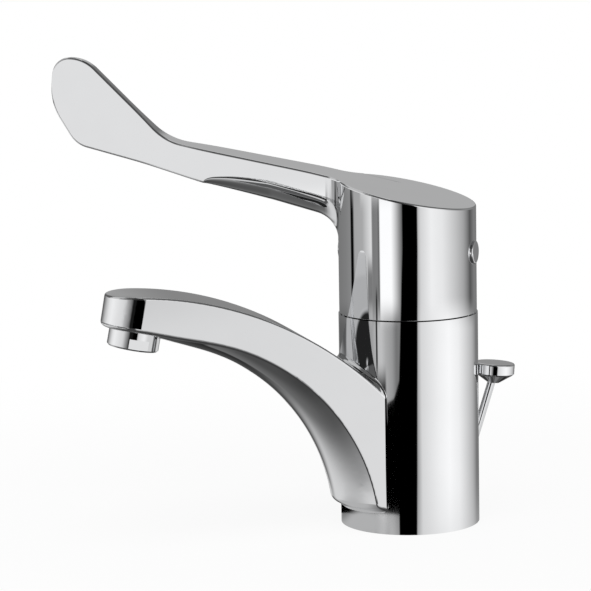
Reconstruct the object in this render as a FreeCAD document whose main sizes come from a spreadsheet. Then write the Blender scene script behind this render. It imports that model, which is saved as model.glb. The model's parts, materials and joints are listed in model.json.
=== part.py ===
import FreeCAD, Part
import math
import os
import Sketcher
from types import SimpleNamespace
from FreeCAD import Placement, Rotation, Vector

# Single-lever basin mixer tap with a long elbow-action lever and a pop-up waste rod.
# Millimetres, +Z up. The origin is the centre of the round base, on the basin's deck.
# The spout points along -X. The handle stands as it is shown at rest, turned away from the spout.

SIZES = [
    # Body column
    ("body_radius", 25.35, "outer radius of the cast column"),
    ("seam_height", 77.5, "height of the line between body and handle"),
    ("seam_gap", 0.3, "open joint between the body's rim and the handle's rim"),
    ("plinth_height", 8.5, "bare foot of the column below the spout's root"),
    ("foot_recess_depth", 4.0, "depth of the hollow in the underside of the foot"),
    ("foot_recess_radius", 19.4, "radius of that hollow"),
    # Spout
    ("spout_reach", 101.4, "from the column's axis to the outlet's axis, at the tip's underside"),
    ("tip_height", 77.2, "height of the tip's underside at the outlet's axis"),
    ("tip_tilt", 11.3, "degrees that the outlet leans forward"),
    ("tip_radius", 12.9, "radius of the round nose"),
    ("root_half_width", 20.3, "half of the spout's width where it leaves the column"),
    ("root_station", 15.1, "distance from the axis at which that width is measured"),
    ("crown_radius", 127.2, "radius of the spout's top arc"),
    ("crown_centre_out", 107.4, "distance of that arc's centre from the axis"),
    ("crown_centre_drop", 114.3, "depth of that arc's centre below the tip's underside"),
    ("belly_radius", 73.7, "radius of the underside's arc on the middle line"),
    ("belly_centre_out", 102.2, "distance of that arc's centre from the axis"),
    ("belly_centre_drop", 78.4, "depth of that arc's centre below the tip's underside"),
    ("flank_radius", 74.5, "radius of the arc along the lower edge of each side"),
    ("flank_centre_out", 92.4, "distance of that arc's centre from the axis"),
    ("flank_centre_drop", 78.2, "depth of that arc's centre below the tip's underside"),
    ("edge_rounding", 0.8, "small radius along the spout's edges"),
    ("nose_rounding", 1.6, "radius round the lower edge of the nose"),
    ("heel_rounding", 3.0, "radius at the lower front corner of the spout's root"),
    ("junction_rounding", 1.6, "fillet between the spout's top and the column"),
    ("channel_radius", 4.5, "radius of the water channel in the spout"),
    # Aerator
    ("collar_radius", 9.25, "outer radius of the aerator's collar"),
    ("collar_length", 7.0, "length of the collar below the spout"),
    ("aerator_thread_radius", 8.25, "outer radius of the aerator's thread"),
    ("aerator_thread_length", 6.5, "length of the thread inside the spout"),
    ("aerator_bore_radius", 7.1, "inner radius of the aerator's housing"),
    ("aerator_lip_radius", 5.9, "radius of the mouth that the water leaves by"),
    ("aerator_lip_height", 1.2, "thickness of the inward lip at the mouth"),
    ("aerator_washer_height", 1.5, "thickness of the rubber washer"),
    ("wrench_flat_width", 7.6, "width of the key notch in the collar"),
    ("wrench_flat_height", 3.4, "height of that notch"),
    ("wrench_flat_depth", 0.7, "depth of that notch"),
    ("collar_edge", 0.6, "small bevel round the collar's mouth"),
    ("honeycomb_hole", 0.85, "radius of the small holes in the flow straightener"),
    ("honeycomb_pitch", 2.3, "spacing of those holes"),
    # Cartridge
    ("seat_depth", 25.6, "depth of the seat that the cartridge stands on, below the seam"),
    ("pivot_above_seat", 31.6, "height of the lever's pivot over that seat"),
    ("cartridge_radius", 17.5, "outer radius of the cartridge's lower half"),
    ("cartridge_shoulder", 12.0, "height of the shoulder that the nut presses on"),
    ("cartridge_neck_radius", 15.6, "outer radius above the shoulder"),
    ("cartridge_top_radius", 13.2, "outer radius of the top collar"),
    ("cartridge_neck_height", 27.0, "height at which the top collar begins"),
    ("cartridge_height", 35.6, "whole height of the housing"),
    ("cartridge_base_height", 7.6, "height of the ported base"),
    ("base_plug_radius", 14.0, "radius of the base's upper part, inside the housing"),
    ("base_flange_height", 2.8, "height of the base's flange"),
    ("disc_height", 3.8, "thickness of each ceramic disc"),
    ("fixed_disc_radius", 13.9, "radius of the fixed ceramic disc"),
    ("moving_disc_radius", 9.0, "radius of the moving ceramic disc"),
    ("carrier_height", 5.2, "thickness of the disc carrier"),
    ("rotor_flange_radius", 13.0, "radius of the rotor's flange"),
    ("rotor_flange_height", 3.0, "thickness of the rotor's flange"),
    ("rotor_radius", 11.0, "radius of the rotor's turning neck"),
    ("bearing_ring_height", 1.2, "thickness of the slip ring on the flange"),
    ("pin_radius", 1.6, "radius of the pivot pin"),
    ("stem_side", 8.0, "side of the square stem"),
    ("stem_top", 20.0, "height of the stem's end over the pivot"),
    ("stem_waist", 6.0, "thickness of the stem inside the rotor"),
    ("stem_square_rise", 7.5, "height over the pivot at which the square part begins"),
    ("stem_neck_radius", 1.4, "radius of the finger above the round end"),
    ("stem_ball_radius", 2.4, "radius of the round end in the carrier"),
    ("slot_front", 7.2, "length of the rotor's slot towards the lever"),
    ("slot_rear", 5.4, "length of the rotor's slot away from the lever"),
    ("port_radius", 3.2, "radius of the cartridge's water ports"),
    ("mixing_recess_radius", 6.4, "radius of the mixing recess in the moving disc"),
    ("port_spacing", 7.6, "distance of the ports from the axis"),
    ("seal_wire", 0.8, "section radius of the port seals"),
    # Nut and cover
    ("nut_radius", 19.9, "outer radius of the retaining nut's thread"),
    ("nut_thread_height", 4.6, "height of the threaded part"),
    ("nut_collar_radius", 18.0, "outer radius of the nut's raised collar"),
    ("nut_collar_height", 3.4, "height of that collar"),
    ("nut_notch_width", 4.0, "width of the key notches in the collar"),
    ("cover_radius", 18.9, "outer radius of the decorative cover"),
    ("cover_wall", 0.7, "thickness of the cover"),
    ("cover_top_radius", 9.6, "radius of the opening for the stem"),
    ("cover_shoulder", 5.6, "radius of the cover's rounded shoulder"),
    ("socket_gap", 0.2, "clearance between handle rim and the body's round socket"),
    ("socket_depth", 9.0, "depth of that socket below the seam"),
    # Handle
    ("handle_radius", 25.0, "outer radius of the handle's cap"),
    ("handle_wall", 2.4, "wall of the cap"),
    ("cap_height", 44.0, "height of the cap's middle over the seam"),
    ("cap_tilt", 12.1, "degrees that the cap's top rises towards the lever"),
    ("cap_ceiling", 26.5, "height of the hollow over the seam"),
    ("boss_radius", 8.6, "radius of the boss that holds the stem"),
    ("boss_drop", 10.0, "length of the boss below the ceiling"),
    ("ceiling_rounding", 3.0, "radius between the cap's wall and its ceiling"),
    ("lever_start_out", 15.0, "distance from the axis at which the blade begins, inside the cap"),
    ("lever_cut_out", 167.0, "distance from the axis to which the cuts of the blade's sides run"),
    ("lever_reach", 139.2, "from the axis to the end of the paddle"),
    ("lever_brow_out", 34.0, "distance at which the lever's top leaves the slope of the cap"),
    ("lever_brow_rounding", 150.0, "radius of that gentle bend"),
    ("lever_root_bottom", 111.0, "height of the lever's lower edge at the cap"),
    ("lever_neck_out", 92.5, "distance of the bend in the top edge"),
    ("lever_neck_top", 138.7, "height of that bend"),
    ("lever_heel_out", 129.0, "distance of the lower corner of the paddle"),
    ("lever_heel_height", 136.3, "height of that corner"),
    ("paddle_top", 168.9, "height of the paddle's top"),
    ("paddle_shoulder_out", 124.8, "distance of the upper corner on the paddle's near side"),
    ("paddle_overhang", -2.0, "how far the paddle's end leans out over its lower part"),
    ("paddle_tip_low", 152.0, "height at which the paddle's end begins to turn under"),
    ("paddle_shoulder_rounding", 15.0, "radius of that upper corner"),
    ("paddle_crown_rounding", 7.0, "radius at the top of the paddle's end"),
    ("paddle_tip_rounding", 20.0, "radius at the end of the paddle"),
    ("paddle_heel_rounding", 11.0, "radius at the lower corner of the paddle"),
    ("lever_neck_rounding", 24.0, "radius in the bend of the top edge"),
    ("paddle_thickness", 3.6, "thickness of the paddle"),
    ("lever_root_width", 19.6, "width of the lever at the cap"),
    ("lever_swell_width", 14.4, "width of the lever where it begins to thin down"),
    ("lever_swell_out", 76.0, "distance of that place from the axis"),
    ("lever_thin_out", 102.0, "distance at which the paddle's thickness is reached"),
    ("lever_edge", 0.7, "small radius along the lever's edges"),
    ("lever_blend", 3.5, "radius of the flares from the lever's sides to the cap"),
    ("lever_blend_sink", 0.07, "how deep those flares run into the cap's wall"),
    ("lever_swell_rounding", 30.0, "radius of the gentle bends in the lever's sides"),
    ("plug_height", 22.3, "height of the two plugs over the seam"),
    ("plug_radius", 4.3, "radius of the front and rear plug"),
    ("plug_depth", 1.6, "depth of the plugs' seats in the cap"),
    ("peg_radius", 1.2, "radius of the peg behind the rear plug"),
    ("front_plug_proud", 0.3, "how far the front plug stands out"),
    ("rear_plug_proud", 0.8, "how far the rear plug stands out"),
    ("screw_radius", 2.5, "radius of the grub screw"),
    ("screw_length", 6.0, "length of the grub screw"),
    ("screw_socket", 1.25, "half the width across flats of its socket"),
    ("handle_turn", 35.0, "degrees that the handle stands turned from the spout"),
    # Base, inlets and fixing
    ("gasket_outer", 24.0, "outer radius of the base gasket"),
    ("gasket_inner", 20.6, "inner radius of the base gasket"),
    ("gasket_height", 2.4, "thickness of the base gasket"),
    ("inlet_radius", 5.0, "radius of the two threaded hose inlets"),
    ("inlet_depth", 12.0, "depth of the threads"),
    ("inlet_spacing", 7.6, "distance of each inlet from the middle line"),
    ("inlet_back", 1.0, "distance of the inlets behind the column's axis"),
    ("riser_radius", 4.2, "radius of the water ways above the threads"),
    ("riser_neck_radius", 3.4, "radius of their narrow ends under the cartridge"),
    ("riser_neck_length", 6.0, "length of those narrow ends"),
    ("stud_radius", 4.0, "radius of the threaded fixing hole"),
    ("stud_depth", 14.0, "depth of the fixing hole"),
    ("stud_forward", 12.6, "distance of the fixing hole in front of the middle"),
    # Pop-up waste rod
    ("rod_radius", 1.45, "radius of the lift rod"),
    ("rod_tilt", 18.3, "degrees that the rod leans back from upright"),
    ("rod_foot", 15.7, "distance of the rod's line from the axis at deck level"),
    ("rod_top", 53.0, "height of the rod's upper end, inside the knob"),
    ("rod_bottom", 1.0, "height of the rod's lower end"),
    ("rod_guide_height", 21.5, "height at which the rod leaves its bush"),
    ("knob_out", 33.3, "distance of the knob's middle from the axis"),
    ("knob_radius", 7.4, "radius of the lift knob"),
    ("knob_height", 4.4, "height of the knob's rim"),
    ("knob_cone", 3.0, "height of the cone under the knob"),
    ("knob_stem_radius", 2.2, "radius at the small end of that cone"),
    ("knob_top", 56.4, "height of the knob's top face"),
    ("knob_tilt", 4.5, "degrees that the knob leans back"),
    ("knob_edge", 0.6, "small radius round the knob"),
    ("bush_radius", 2.6, "outer radius of the rod's plastic bush"),
    ("bush_length", 12.0, "length of that bush"),
    ("rod_gap", 0.08, "running gap between rod and bush"),
    # Fits
    ("slip", 0.1, "gap round pieces that are pushed together"),
    ("running", 0.08, "running gap round turning pieces"),
    ("ball_gap", 0.15, "gap round the stem's ball in the disc carrier"),
    ("rest_gap", 0.3, "gap between faces that pass over each other"),
]


class Size:
    """A length or angle that keeps its spreadsheet formula beside its number."""

    def __init__(self, text, number):
        self.text = text
        self.number = number

    def __add__(self, other):
        other = as_size(other)
        return Size(f"({self.text} + {other.text})", self.number + other.number)

    def __sub__(self, other):
        other = as_size(other)
        return Size(f"({self.text} - {other.text})", self.number - other.number)

    def __mul__(self, other):
        other = as_size(other)
        return Size(f"({self.text} * {other.text})", self.number * other.number)

    def __truediv__(self, other):
        other = as_size(other)
        return Size(f"({self.text} / {other.text})", self.number / other.number)

    def __neg__(self):
        return Size(f"(0 - {self.text})", -self.number)

    def __radd__(self, other):
        return as_size(other) + self

    def __rsub__(self, other):
        return as_size(other) - self

    def __rmul__(self, other):
        return as_size(other) * self


def as_size(value):
    """Wrap a plain number so that it mixes with the named sizes."""
    return value if isinstance(value, Size) else Size(repr(float(value)), float(value))


def root(value):
    """Square root of a size."""
    return Size(f"sqrt({value.text})", math.sqrt(value.number))


def tan_of(angle):
    """Tangent of a size in degrees."""
    return Size(f"tan({angle.text} * 1 deg)", math.tan(math.radians(angle.number)))


def cos_of(angle):
    """Cosine of a size in degrees."""
    return Size(f"cos({angle.text} * 1 deg)", math.cos(math.radians(angle.number)))


def sin_of(angle):
    """Sine of a size in degrees."""
    return Size(f"sin({angle.text} * 1 deg)", math.sin(math.radians(angle.number)))


doc = FreeCAD.newDocument("BasinMixer")
sheet = doc.addObject("Spreadsheet::Sheet", "Sizes")
s = SimpleNamespace()
for row, (alias, number, note) in enumerate(SIZES, start=1):
    sheet.set(f"A{row}", note)
    sheet.set(f"B{row}", repr(number))
    sheet.setAlias(f"B{row}", alias)
    setattr(s, alias, Size(f"Sizes.{alias}", number))
doc.recompute()

made = []


def keep(thing, label):
    """Note a finished sub-part, whose label names its file."""
    thing.Label = label
    made.append(thing)
    return thing


def bind(thing, path, size):
    """Tie one property of an object to a size."""
    thing.setExpression(path, as_size(size).text)


# Sketch helpers

def origin_plane(body, role):
    """The body's own origin plane with this role."""
    return next(f for f in body.Origin.OriginFeatures if f.Role == role)


def new_body(name):
    return doc.addObject("PartDesign::Body", name)


def new_sketch(body, name, role="XZ_Plane", offset=None):
    """A sketch on one of the body's origin planes, moved along its normal by offset."""
    sketch = body.newObject("Sketcher::SketchObject", name)
    sketch.AttachmentSupport = [(origin_plane(body, role), "")]
    sketch.MapMode = "FlatFace"
    if offset is not None:
        bind(sketch, "AttachmentOffset.Base.z", offset)
    return sketch


def pin_point(sketch, geometry, vertex, across, up):
    """Tie one point of a sketch to its two coordinates."""
    for kind, size, axis in (("DistanceX", as_size(across), -2), ("DistanceY", as_size(up), -1)):
        if size.text in ("0.0", "-0.0"):
            sketch.addConstraint(Sketcher.Constraint("PointOnObject", geometry, vertex, axis))
            continue
        made_constraint = Sketcher.Constraint(kind, -1, 1, geometry, vertex, size.number)
        index = sketch.addConstraint(made_constraint)
        sketch.setExpression(f"Constraints[{index}]", size.text)


def corner_arc(before, corner, after, radius):
    """Tangent points, centre and angles of the arc that rounds a corner."""
    back = (before - corner).normalize()
    ahead = (after - corner).normalize()
    half = back.getAngle(ahead) / 2
    reach = radius / math.tan(half)
    start = corner + back * reach
    end = corner + ahead * reach
    centre = corner + (back + ahead).normalize() * (radius / math.sin(half))
    return start, end, centre


def outline(sketch, corners):
    """Draw a closed outline through corners (across, up) or (across, up, rounding)."""
    points = [Vector(as_size(c[0]).number, as_size(c[1]).number, 0) for c in corners]
    count = len(corners)
    starts = []
    ends = []
    centres = []
    for i, corner in enumerate(corners):
        if len(corner) == 2:
            starts.append(points[i])
            ends.append(points[i])
            centres.append(None)
            continue
        rounding = as_size(corner[2]).number
        start, end, centre = corner_arc(points[i - 1], points[i], points[(i + 1) % count], rounding)
        starts.append(start)
        ends.append(end)
        centres.append(centre)
    lines = [
        sketch.addGeometry(Part.LineSegment(ends[i], starts[(i + 1) % count]), False)
        for i in range(count)
    ]
    for i, corner in enumerate(corners):
        into, out_of = lines[i - 1], lines[i]
        if centres[i] is None:
            sketch.addConstraint(Sketcher.Constraint("Coincident", into, 2, out_of, 1))
            pin_point(sketch, out_of, 1, corner[0], corner[1])
            continue
        rounding = as_size(corner[2])
        first = starts[i] - centres[i]
        last = ends[i] - centres[i]
        turns_left = (first.cross(last)).z > 0
        a, b = (first, last) if turns_left else (last, first)
        circle = Part.Circle(centres[i], Vector(0, 0, 1), rounding.number)
        arc = sketch.addGeometry(
            Part.ArcOfCircle(circle, math.atan2(a.y, a.x), math.atan2(b.y, b.x)), False
        )
        at_start, at_end = (1, 2) if turns_left else (2, 1)
        sketch.addConstraint(Sketcher.Constraint("Tangent", into, 2, arc, at_start))
        sketch.addConstraint(Sketcher.Constraint("Tangent", out_of, 1, arc, at_end))
        index = sketch.addConstraint(Sketcher.Constraint("Radius", arc, rounding.number))
        sketch.setExpression(f"Constraints[{index}]", rounding.text)
        mark = sketch.addGeometry(Part.Point(points[i]), True)
        sketch.addConstraint(Sketcher.Constraint("PointOnObject", mark, 1, into))
        sketch.addConstraint(Sketcher.Constraint("PointOnObject", mark, 1, out_of))
        pin_point(sketch, mark, 1, corner[0], corner[1])


def ring(sketch, across, up, radius):
    """Draw a circle in a sketch."""
    radius = as_size(radius)
    centre = Vector(as_size(across).number, as_size(up).number, 0)
    circle = sketch.addGeometry(Part.Circle(centre, Vector(0, 0, 1), radius.number), False)
    pin_point(sketch, circle, 3, across, up)
    index = sketch.addConstraint(Sketcher.Constraint("Radius", circle, radius.number))
    sketch.setExpression(f"Constraints[{index}]", radius.text)


def rectangle(left, bottom, right, top):
    """Corners of an upright rectangle."""
    return [(left, bottom), (right, bottom), (right, top), (left, top)]


# Feature helpers

def turned(body, name, corners, cut=False):
    """Turn an outline of (radius, height) corners about the body's Z axis."""
    sketch = new_sketch(body, f"{name}_profile")
    outline(sketch, corners)
    kind = "PartDesign::Groove" if cut else "PartDesign::Revolution"
    feature = body.newObject(kind, name)
    feature.Profile = sketch
    feature.ReferenceAxis = (sketch, ["V_Axis"])
    feature.Angle = 360.0
    return feature


def raised(body, name, draw, length, role="XY_Plane", offset=None, middle=False):
    """Pad what draw() puts into a sketch."""
    sketch = new_sketch(body, f"{name}_profile", role, offset)
    draw(sketch)
    feature = body.newObject("PartDesign::Pad", name)
    feature.Profile = sketch
    bind(feature, "Length", length)
    feature.Midplane = middle
    return feature


def sunk(body, name, draw, length, role="XY_Plane", offset=None, middle=False, reverse=False):
    """Pocket what draw() puts into a sketch, and make sure that it removes something."""
    doc.recompute()
    before = body.Shape.Volume
    sketch = new_sketch(body, f"{name}_profile", role, offset)
    draw(sketch)
    feature = body.newObject("PartDesign::Pocket", name)
    feature.Profile = sketch
    bind(feature, "Length", length)
    feature.Midplane = middle
    feature.Reversed = reverse
    doc.recompute()
    if not body.Shape.Volume < before - 1e-3:
        raise RuntimeError(f"{name} cuts nothing")
    return feature


def cylinder(name, radius, length, out=0, up=0, side=0, tilt=None):
    """A Part cylinder from (out, side, up), leaning back from +Z towards +X by tilt degrees."""
    thing = doc.addObject("Part::Cylinder", name)
    bind(thing, "Radius", radius)
    bind(thing, "Height", length)
    bind(thing, "Placement.Base.x", out)
    bind(thing, "Placement.Base.y", side)
    bind(thing, "Placement.Base.z", up)
    if tilt is not None:
        thing.Placement.Rotation = Rotation(Vector(0, 1, 0), tilt.number)
        bind(thing, "Placement.Rotation.Angle", tilt)
    return thing


def fused(name, pieces):
    """Several pieces joined into one."""
    thing = doc.addObject("Part::MultiFuse", name)
    thing.Shapes = pieces
    return thing


def cut(name, base, tool):
    """A base with a tool taken out of it."""
    thing = doc.addObject("Part::Cut", name)
    thing.Base = base
    thing.Tool = tool
    return thing


def rounded(name, base, radius, wanted):
    """Round the edges for which wanted(edge) is true."""
    doc.recompute()
    radius = radius.number
    thing = doc.addObject("Part::Fillet", name)
    thing.Base = base
    thing.Edges = [
        (i, radius, radius) for i, e in enumerate(base.Shape.Edges, start=1) if wanted(e)
    ]
    if not thing.Edges:
        raise RuntimeError(f"{name} finds no edge")
    doc.recompute()
    if thing.Shape.isNull() or not thing.Shape.isValid():
        raise RuntimeError(f"{name} can't be rounded")
    return thing


def middle(edge):
    """The point halfway along an edge."""
    return edge.valueAt((edge.FirstParameter + edge.LastParameter) / 2)


seat_height = s.seam_height - s.seat_depth
pivot = seat_height + s.pivot_above_seat
body_top = s.seam_height - s.seam_gap / 2
handle_bottom = s.seam_height + s.seam_gap / 2
rim_drop = pivot - handle_bottom
rim_ball = root(s.handle_radius * s.handle_radius + rim_drop * rim_drop)
socket_ball = rim_ball + s.socket_gap
socket_floor = s.seam_height - s.socket_depth


# Spout: sections turn about the centre of the flank arc, from the root to the nose

class Spout:
    """The outline curves of the spout, in the plane of its middle line (out, up)."""

    FIRST_ANGLE = 182.0
    LAST_ANGLE = 72.0
    STEPS = 12
    BLEND_FROM = 112.0
    BLEND_TO = 78.0
    LEAST_BELLY = 0.4
    TRIM_MARGIN = 0.9
    CHANNEL_BENDS = (141.0, 124.0, 106.0)
    PORT_DROP = 3.0

    def __init__(self):
        self.tip = s.tip_height.number
        self.centre = (s.flank_centre_out.number, self.tip - s.flank_centre_drop.number)
        self.slope = math.radians(s.tip_tilt.number)
        self.taper = self.side_taper()

    def side_taper(self):
        """Slope of the sides in plan, tangent to the round nose."""
        run = s.spout_reach.number - s.root_station.number
        wide = s.root_half_width.number
        nose = s.tip_radius.number
        a = run ** 2 - nose ** 2
        b = -2 * wide * run
        c = wide ** 2 - nose ** 2
        return (-b - math.sqrt(b ** 2 - 4 * a * c)) / (2 * a)

    def half_width(self, out):
        return s.root_half_width.number - (out - s.root_station.number) * self.taper

    def to_circle(self, angle, centre_out, centre_drop, radius):
        """Distance from the turning centre to a circle, along a ray."""
        dx = centre_out.number - self.centre[0]
        dz = self.tip - centre_drop.number - self.centre[1]
        along = dx * math.cos(angle) + dz * math.sin(angle)
        return along + math.sqrt(along ** 2 - dx ** 2 - dz ** 2 + radius.number ** 2)

    def to_crown(self, angle):
        return self.to_circle(
            angle, s.crown_centre_out, s.crown_centre_drop, s.crown_radius
        )

    def to_flank(self, angle):
        """Distance to the lower edge: an arc that runs into the flat underside of the tip."""
        normal = (-math.sin(self.slope), math.cos(self.slope))
        tip_out = s.spout_reach.number - self.centre[0]
        tip_up = self.tip - self.centre[1]
        flat = tip_out * normal[0] + tip_up * normal[1]
        leaves_arc = math.pi / 2 + self.slope
        if angle < leaves_arc:
            return flat / (math.cos(angle) * normal[0] + math.sin(angle) * normal[1])
        share = (angle - leaves_arc) / (math.pi - leaves_arc)
        return flat + (s.flank_radius.number - flat) * min(1.0, share)

    def to_belly(self, angle):
        return self.to_circle(
            angle, s.belly_centre_out, s.belly_centre_drop, s.belly_radius
        )

    def belly(self, angle):
        """How far the rounded underside hangs below the lower edges."""
        begin = math.radians(self.BLEND_FROM)
        if angle >= begin:
            return self.to_flank(angle) - self.to_belly(angle)
        at_begin = self.to_flank(begin) - self.to_belly(begin)
        end = math.radians(self.BLEND_TO)
        share = max(0.0, (angle - end) / (begin - end))
        return self.LEAST_BELLY + (at_begin - self.LEAST_BELLY) * share

    def place(self, angle, distance):
        """Distance from the column's axis, and height, of a point on a ray."""
        out = self.centre[0] + distance * math.cos(angle)
        up = self.centre[1] + distance * math.sin(angle)
        return out, up

    def section(self, angle):
        """A closed wire with a flat top, upright sides and a round belly, a little too wide."""
        low = self.to_flank(angle)
        high = self.to_crown(angle)
        hang = self.belly(angle)
        low_out, low_up = self.place(angle, low)
        half = self.half_width(low_out)
        bow = (half ** 2 + hang ** 2) / (2 * hang)
        wide = half + self.TRIM_MARGIN
        edge = low - hang + bow - math.sqrt(bow ** 2 - wide ** 2)
        edge_out, edge_up = self.place(angle, edge)
        deep_out, deep_up = self.place(angle, low - hang)
        high_out, high_up = self.place(angle, high)
        top = max(wide, self.half_width(high_out) + self.TRIM_MARGIN)
        far_low, near_low = Vector(-edge_out, -wide, edge_up), Vector(-edge_out, wide, edge_up)
        far_high, near_high = Vector(-high_out, -top, high_up), Vector(-high_out, top, high_up)
        return Part.Wire([
            Part.LineSegment(far_low, far_high).toShape(),
            Part.LineSegment(far_high, near_high).toShape(),
            Part.LineSegment(near_high, near_low).toShape(),
            Part.Arc(near_low, Vector(-deep_out, 0, deep_up), far_low).toShape(),
        ])

    def plan(self, up):
        """The spout's outline seen from above: straight sides that run into a round nose."""
        inner = s.root_station.number / 2
        out = s.spout_reach.number + (self.tip - up) * math.tan(self.slope)
        lean = math.atan(self.taper)
        nose = self.half_width(out) * math.cos(lean)
        touch = out + nose * math.sin(lean)
        wide = self.half_width(touch)
        far_in, near_in = (Vector(-inner, k * self.half_width(inner), up) for k in (-1, 1))
        far_out, near_out = (Vector(-touch, k * wide, up) for k in (-1, 1))
        return Part.Wire([
            Part.LineSegment(far_in, far_out).toShape(),
            Part.Arc(far_out, Vector(-out - nose, 0, up), near_out).toShape(),
            Part.LineSegment(near_out, near_in).toShape(),
            Part.LineSegment(near_in, far_in).toShape(),
        ])

    def solid(self):
        """Loft the sections, and trim them to the plan outline above the foot."""
        first = math.radians(self.FIRST_ANGLE)
        step = math.radians(self.LAST_ANGLE - self.FIRST_ANGLE) / self.STEPS
        sections = [self.section(first + step * i) for i in range(self.STEPS + 1)]
        loft = Part.makeLoft(sections, True, False)
        top = self.centre[1] + s.crown_radius.number
        room = Part.makeLoft([self.plan(s.plinth_height.number), self.plan(top)], True, True)
        return loft.common(room)

    def channel(self):
        """The water way: from the cartridge's outlet port through the middle of the spout."""
        radius = s.channel_radius.number
        port = -s.port_spacing.number
        seat = seat_height.number
        points = [Vector(port, 0, seat), Vector(port, 0, seat - self.PORT_DROP * radius)]
        for degrees in self.CHANNEL_BENDS:
            angle = math.radians(degrees)
            low = self.to_flank(angle) - self.belly(angle)
            high = self.to_crown(angle)
            out, up = self.place(angle, (low + high) / 2)
            points.append(Vector(-out, 0, up))
        inside = s.aerator_thread_length.number
        points.append(Vector(
            -s.spout_reach.number + inside * math.sin(self.slope),
            0,
            self.tip + inside * math.cos(self.slope),
        ))
        pieces = []
        for a, b in zip(points, points[1:]):
            pieces.append(Part.makeCylinder(radius, (b - a).Length, a, b - a))
        pieces += [Part.makeSphere(radius, p) for p in points[1:-1]]
        return pieces[0].fuse(pieces[1:]).removeSplitter()


spout = Spout()


def feature(name, shape):
    """A shape that is worked out in the script, as an object of the document."""
    thing = doc.addObject("Part::Feature", name)
    thing.Shape = shape
    return thing


# Mixer body and spout: one casting in brass, kept as two nodes that meet on the column's wall

def make_casting():
    blank = feature("spout_blank", spout.solid())
    nose_starts = s.spout_reach.number
    tip_level = s.tip_height.number
    long_edge = s.spout_reach.number - s.root_station.number
    belly_top = tip_level - s.belly_centre_drop.number + s.belly_radius.number

    def on_heel(edge):
        at = middle(edge)
        return abs(at.z - s.plinth_height.number) < 0.01 and -at.x > s.body_radius.number

    def on_nose(edge):
        return -middle(edge).x > nose_starts + s.tip_radius.number / 2

    def on_crown(edge):
        at = middle(edge)
        if on_nose(edge):
            return at.z > tip_level + s.tip_radius.number / 2
        return edge.Length > long_edge and at.z > belly_top

    def on_flank(edge):
        at = middle(edge)
        if on_nose(edge):
            return at.z < tip_level + s.tip_radius.number / 2
        return edge.Length > long_edge and at.z < belly_top

    soft_heel = rounded("spout_heel_rounded", blank, s.heel_rounding, on_heel)
    soft_top = rounded("spout_top_rounded", soft_heel, s.edge_rounding, on_crown)
    soft_low = rounded("spout_low_rounded", soft_top, s.nose_rounding, on_flank)

    column = new_body("column")
    turned(column, "column_solid", rectangle(0, 0, s.body_radius, body_top))
    joined = fused("casting_outside", [column, soft_low])

    def on_junction(edge):
        at = middle(edge)
        on_column = abs(math.hypot(at.x, at.y) - s.body_radius.number) < 0.05
        return on_column and -at.x > s.body_radius.number / 2 and at.z > tip_level / 2

    outside = rounded("casting_rounded", joined, s.junction_rounding, on_junction)
    channel = feature("spout_channel", spout.channel())
    make_spout(outside, channel)
    make_column(column, channel)


def make_spout(outside, channel):
    """What the casting has outside the column, with its water way and the aerator's seat."""
    column_room = cylinder("column_room", s.body_radius, s.seam_height)
    bore = cylinder(
        "aerator_bore", s.aerator_thread_radius + s.slip, s.aerator_thread_length,
        out=-s.spout_reach, up=s.tip_height, tilt=s.tip_tilt,
    )
    spot_face = cylinder(
        "collar_spot_face", s.collar_radius + s.rest_gap, s.collar_length,
        out=-s.spout_reach - s.collar_length * sin_of(s.tip_tilt),
        up=s.tip_height - s.collar_length * cos_of(s.tip_tilt),
        tilt=s.tip_tilt,
    )
    cores = fused("spout_cores", [column_room, bore, spot_face, channel])
    keep(cut("spout_casting", outside, cores), "spout")


def make_column(column, channel):
    """The column with the handle's socket, the cartridge's bore, the inlets and the foot."""
    cores = [channel]
    socket = doc.addObject("Part::Sphere", "handle_socket")
    bind(socket, "Radius", socket_ball)
    drop = (pivot - socket_floor) / socket_ball
    socket.setExpression("Angle1", f"0 deg - asin({drop.text})")
    bind(socket, "Placement.Base.z", pivot)
    cores.append(socket)
    nut_base = seat_height + s.cartridge_shoulder
    cores.append(cylinder(
        "nut_thread_bore", s.nut_radius + s.slip, s.socket_depth + s.nut_thread_height,
        up=nut_base - s.rest_gap,
    ))
    cores.append(cylinder(
        "cartridge_bore", s.cartridge_radius + s.slip, s.cartridge_shoulder + s.nut_thread_height,
        up=seat_height,
    ))
    for side, name in ((1, "hot"), (-1, "cold")):
        across = s.inlet_spacing * side
        cores.append(cylinder(
            f"{name}_inlet", s.inlet_radius, s.inlet_depth + s.foot_recess_depth,
            out=s.inlet_back, side=across,
        ))
        cores.append(cylinder(
            f"{name}_riser", s.riser_radius, seat_height - s.riser_neck_length,
            out=s.inlet_back, side=across,
        ))
        cores.append(cylinder(
            f"{name}_riser_neck", s.riser_neck_radius, seat_height, out=s.inlet_back, side=across,
        ))
    cores.append(cylinder(
        "stud_hole", s.stud_radius, s.stud_depth + s.foot_recess_depth, out=-s.stud_forward,
    ))
    cores.append(cylinder("foot_recess", s.foot_recess_radius, s.foot_recess_depth))
    gasket_seat = new_body("gasket_seat")
    turned(gasket_seat, "gasket_groove", rectangle(
        s.gasket_inner - s.slip, 0, s.gasket_outer + s.slip, s.gasket_height
    ))
    cores.append(gasket_seat)
    cores.append(cylinder(
        "rod_channel", s.rod_radius + s.rest_gap, seat_height, out=s.rod_foot, tilt=s.rod_tilt,
    ))
    cores.append(cylinder(
        "bush_seat", s.bush_radius + s.slip / 2, s.rod_guide_height / cos_of(s.rod_tilt),
        out=s.rod_foot, tilt=s.rod_tilt,
    ))
    hollow = fused("column_cores", cores)
    keep(cut("column_casting", column, hollow), "mixer_body")


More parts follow.
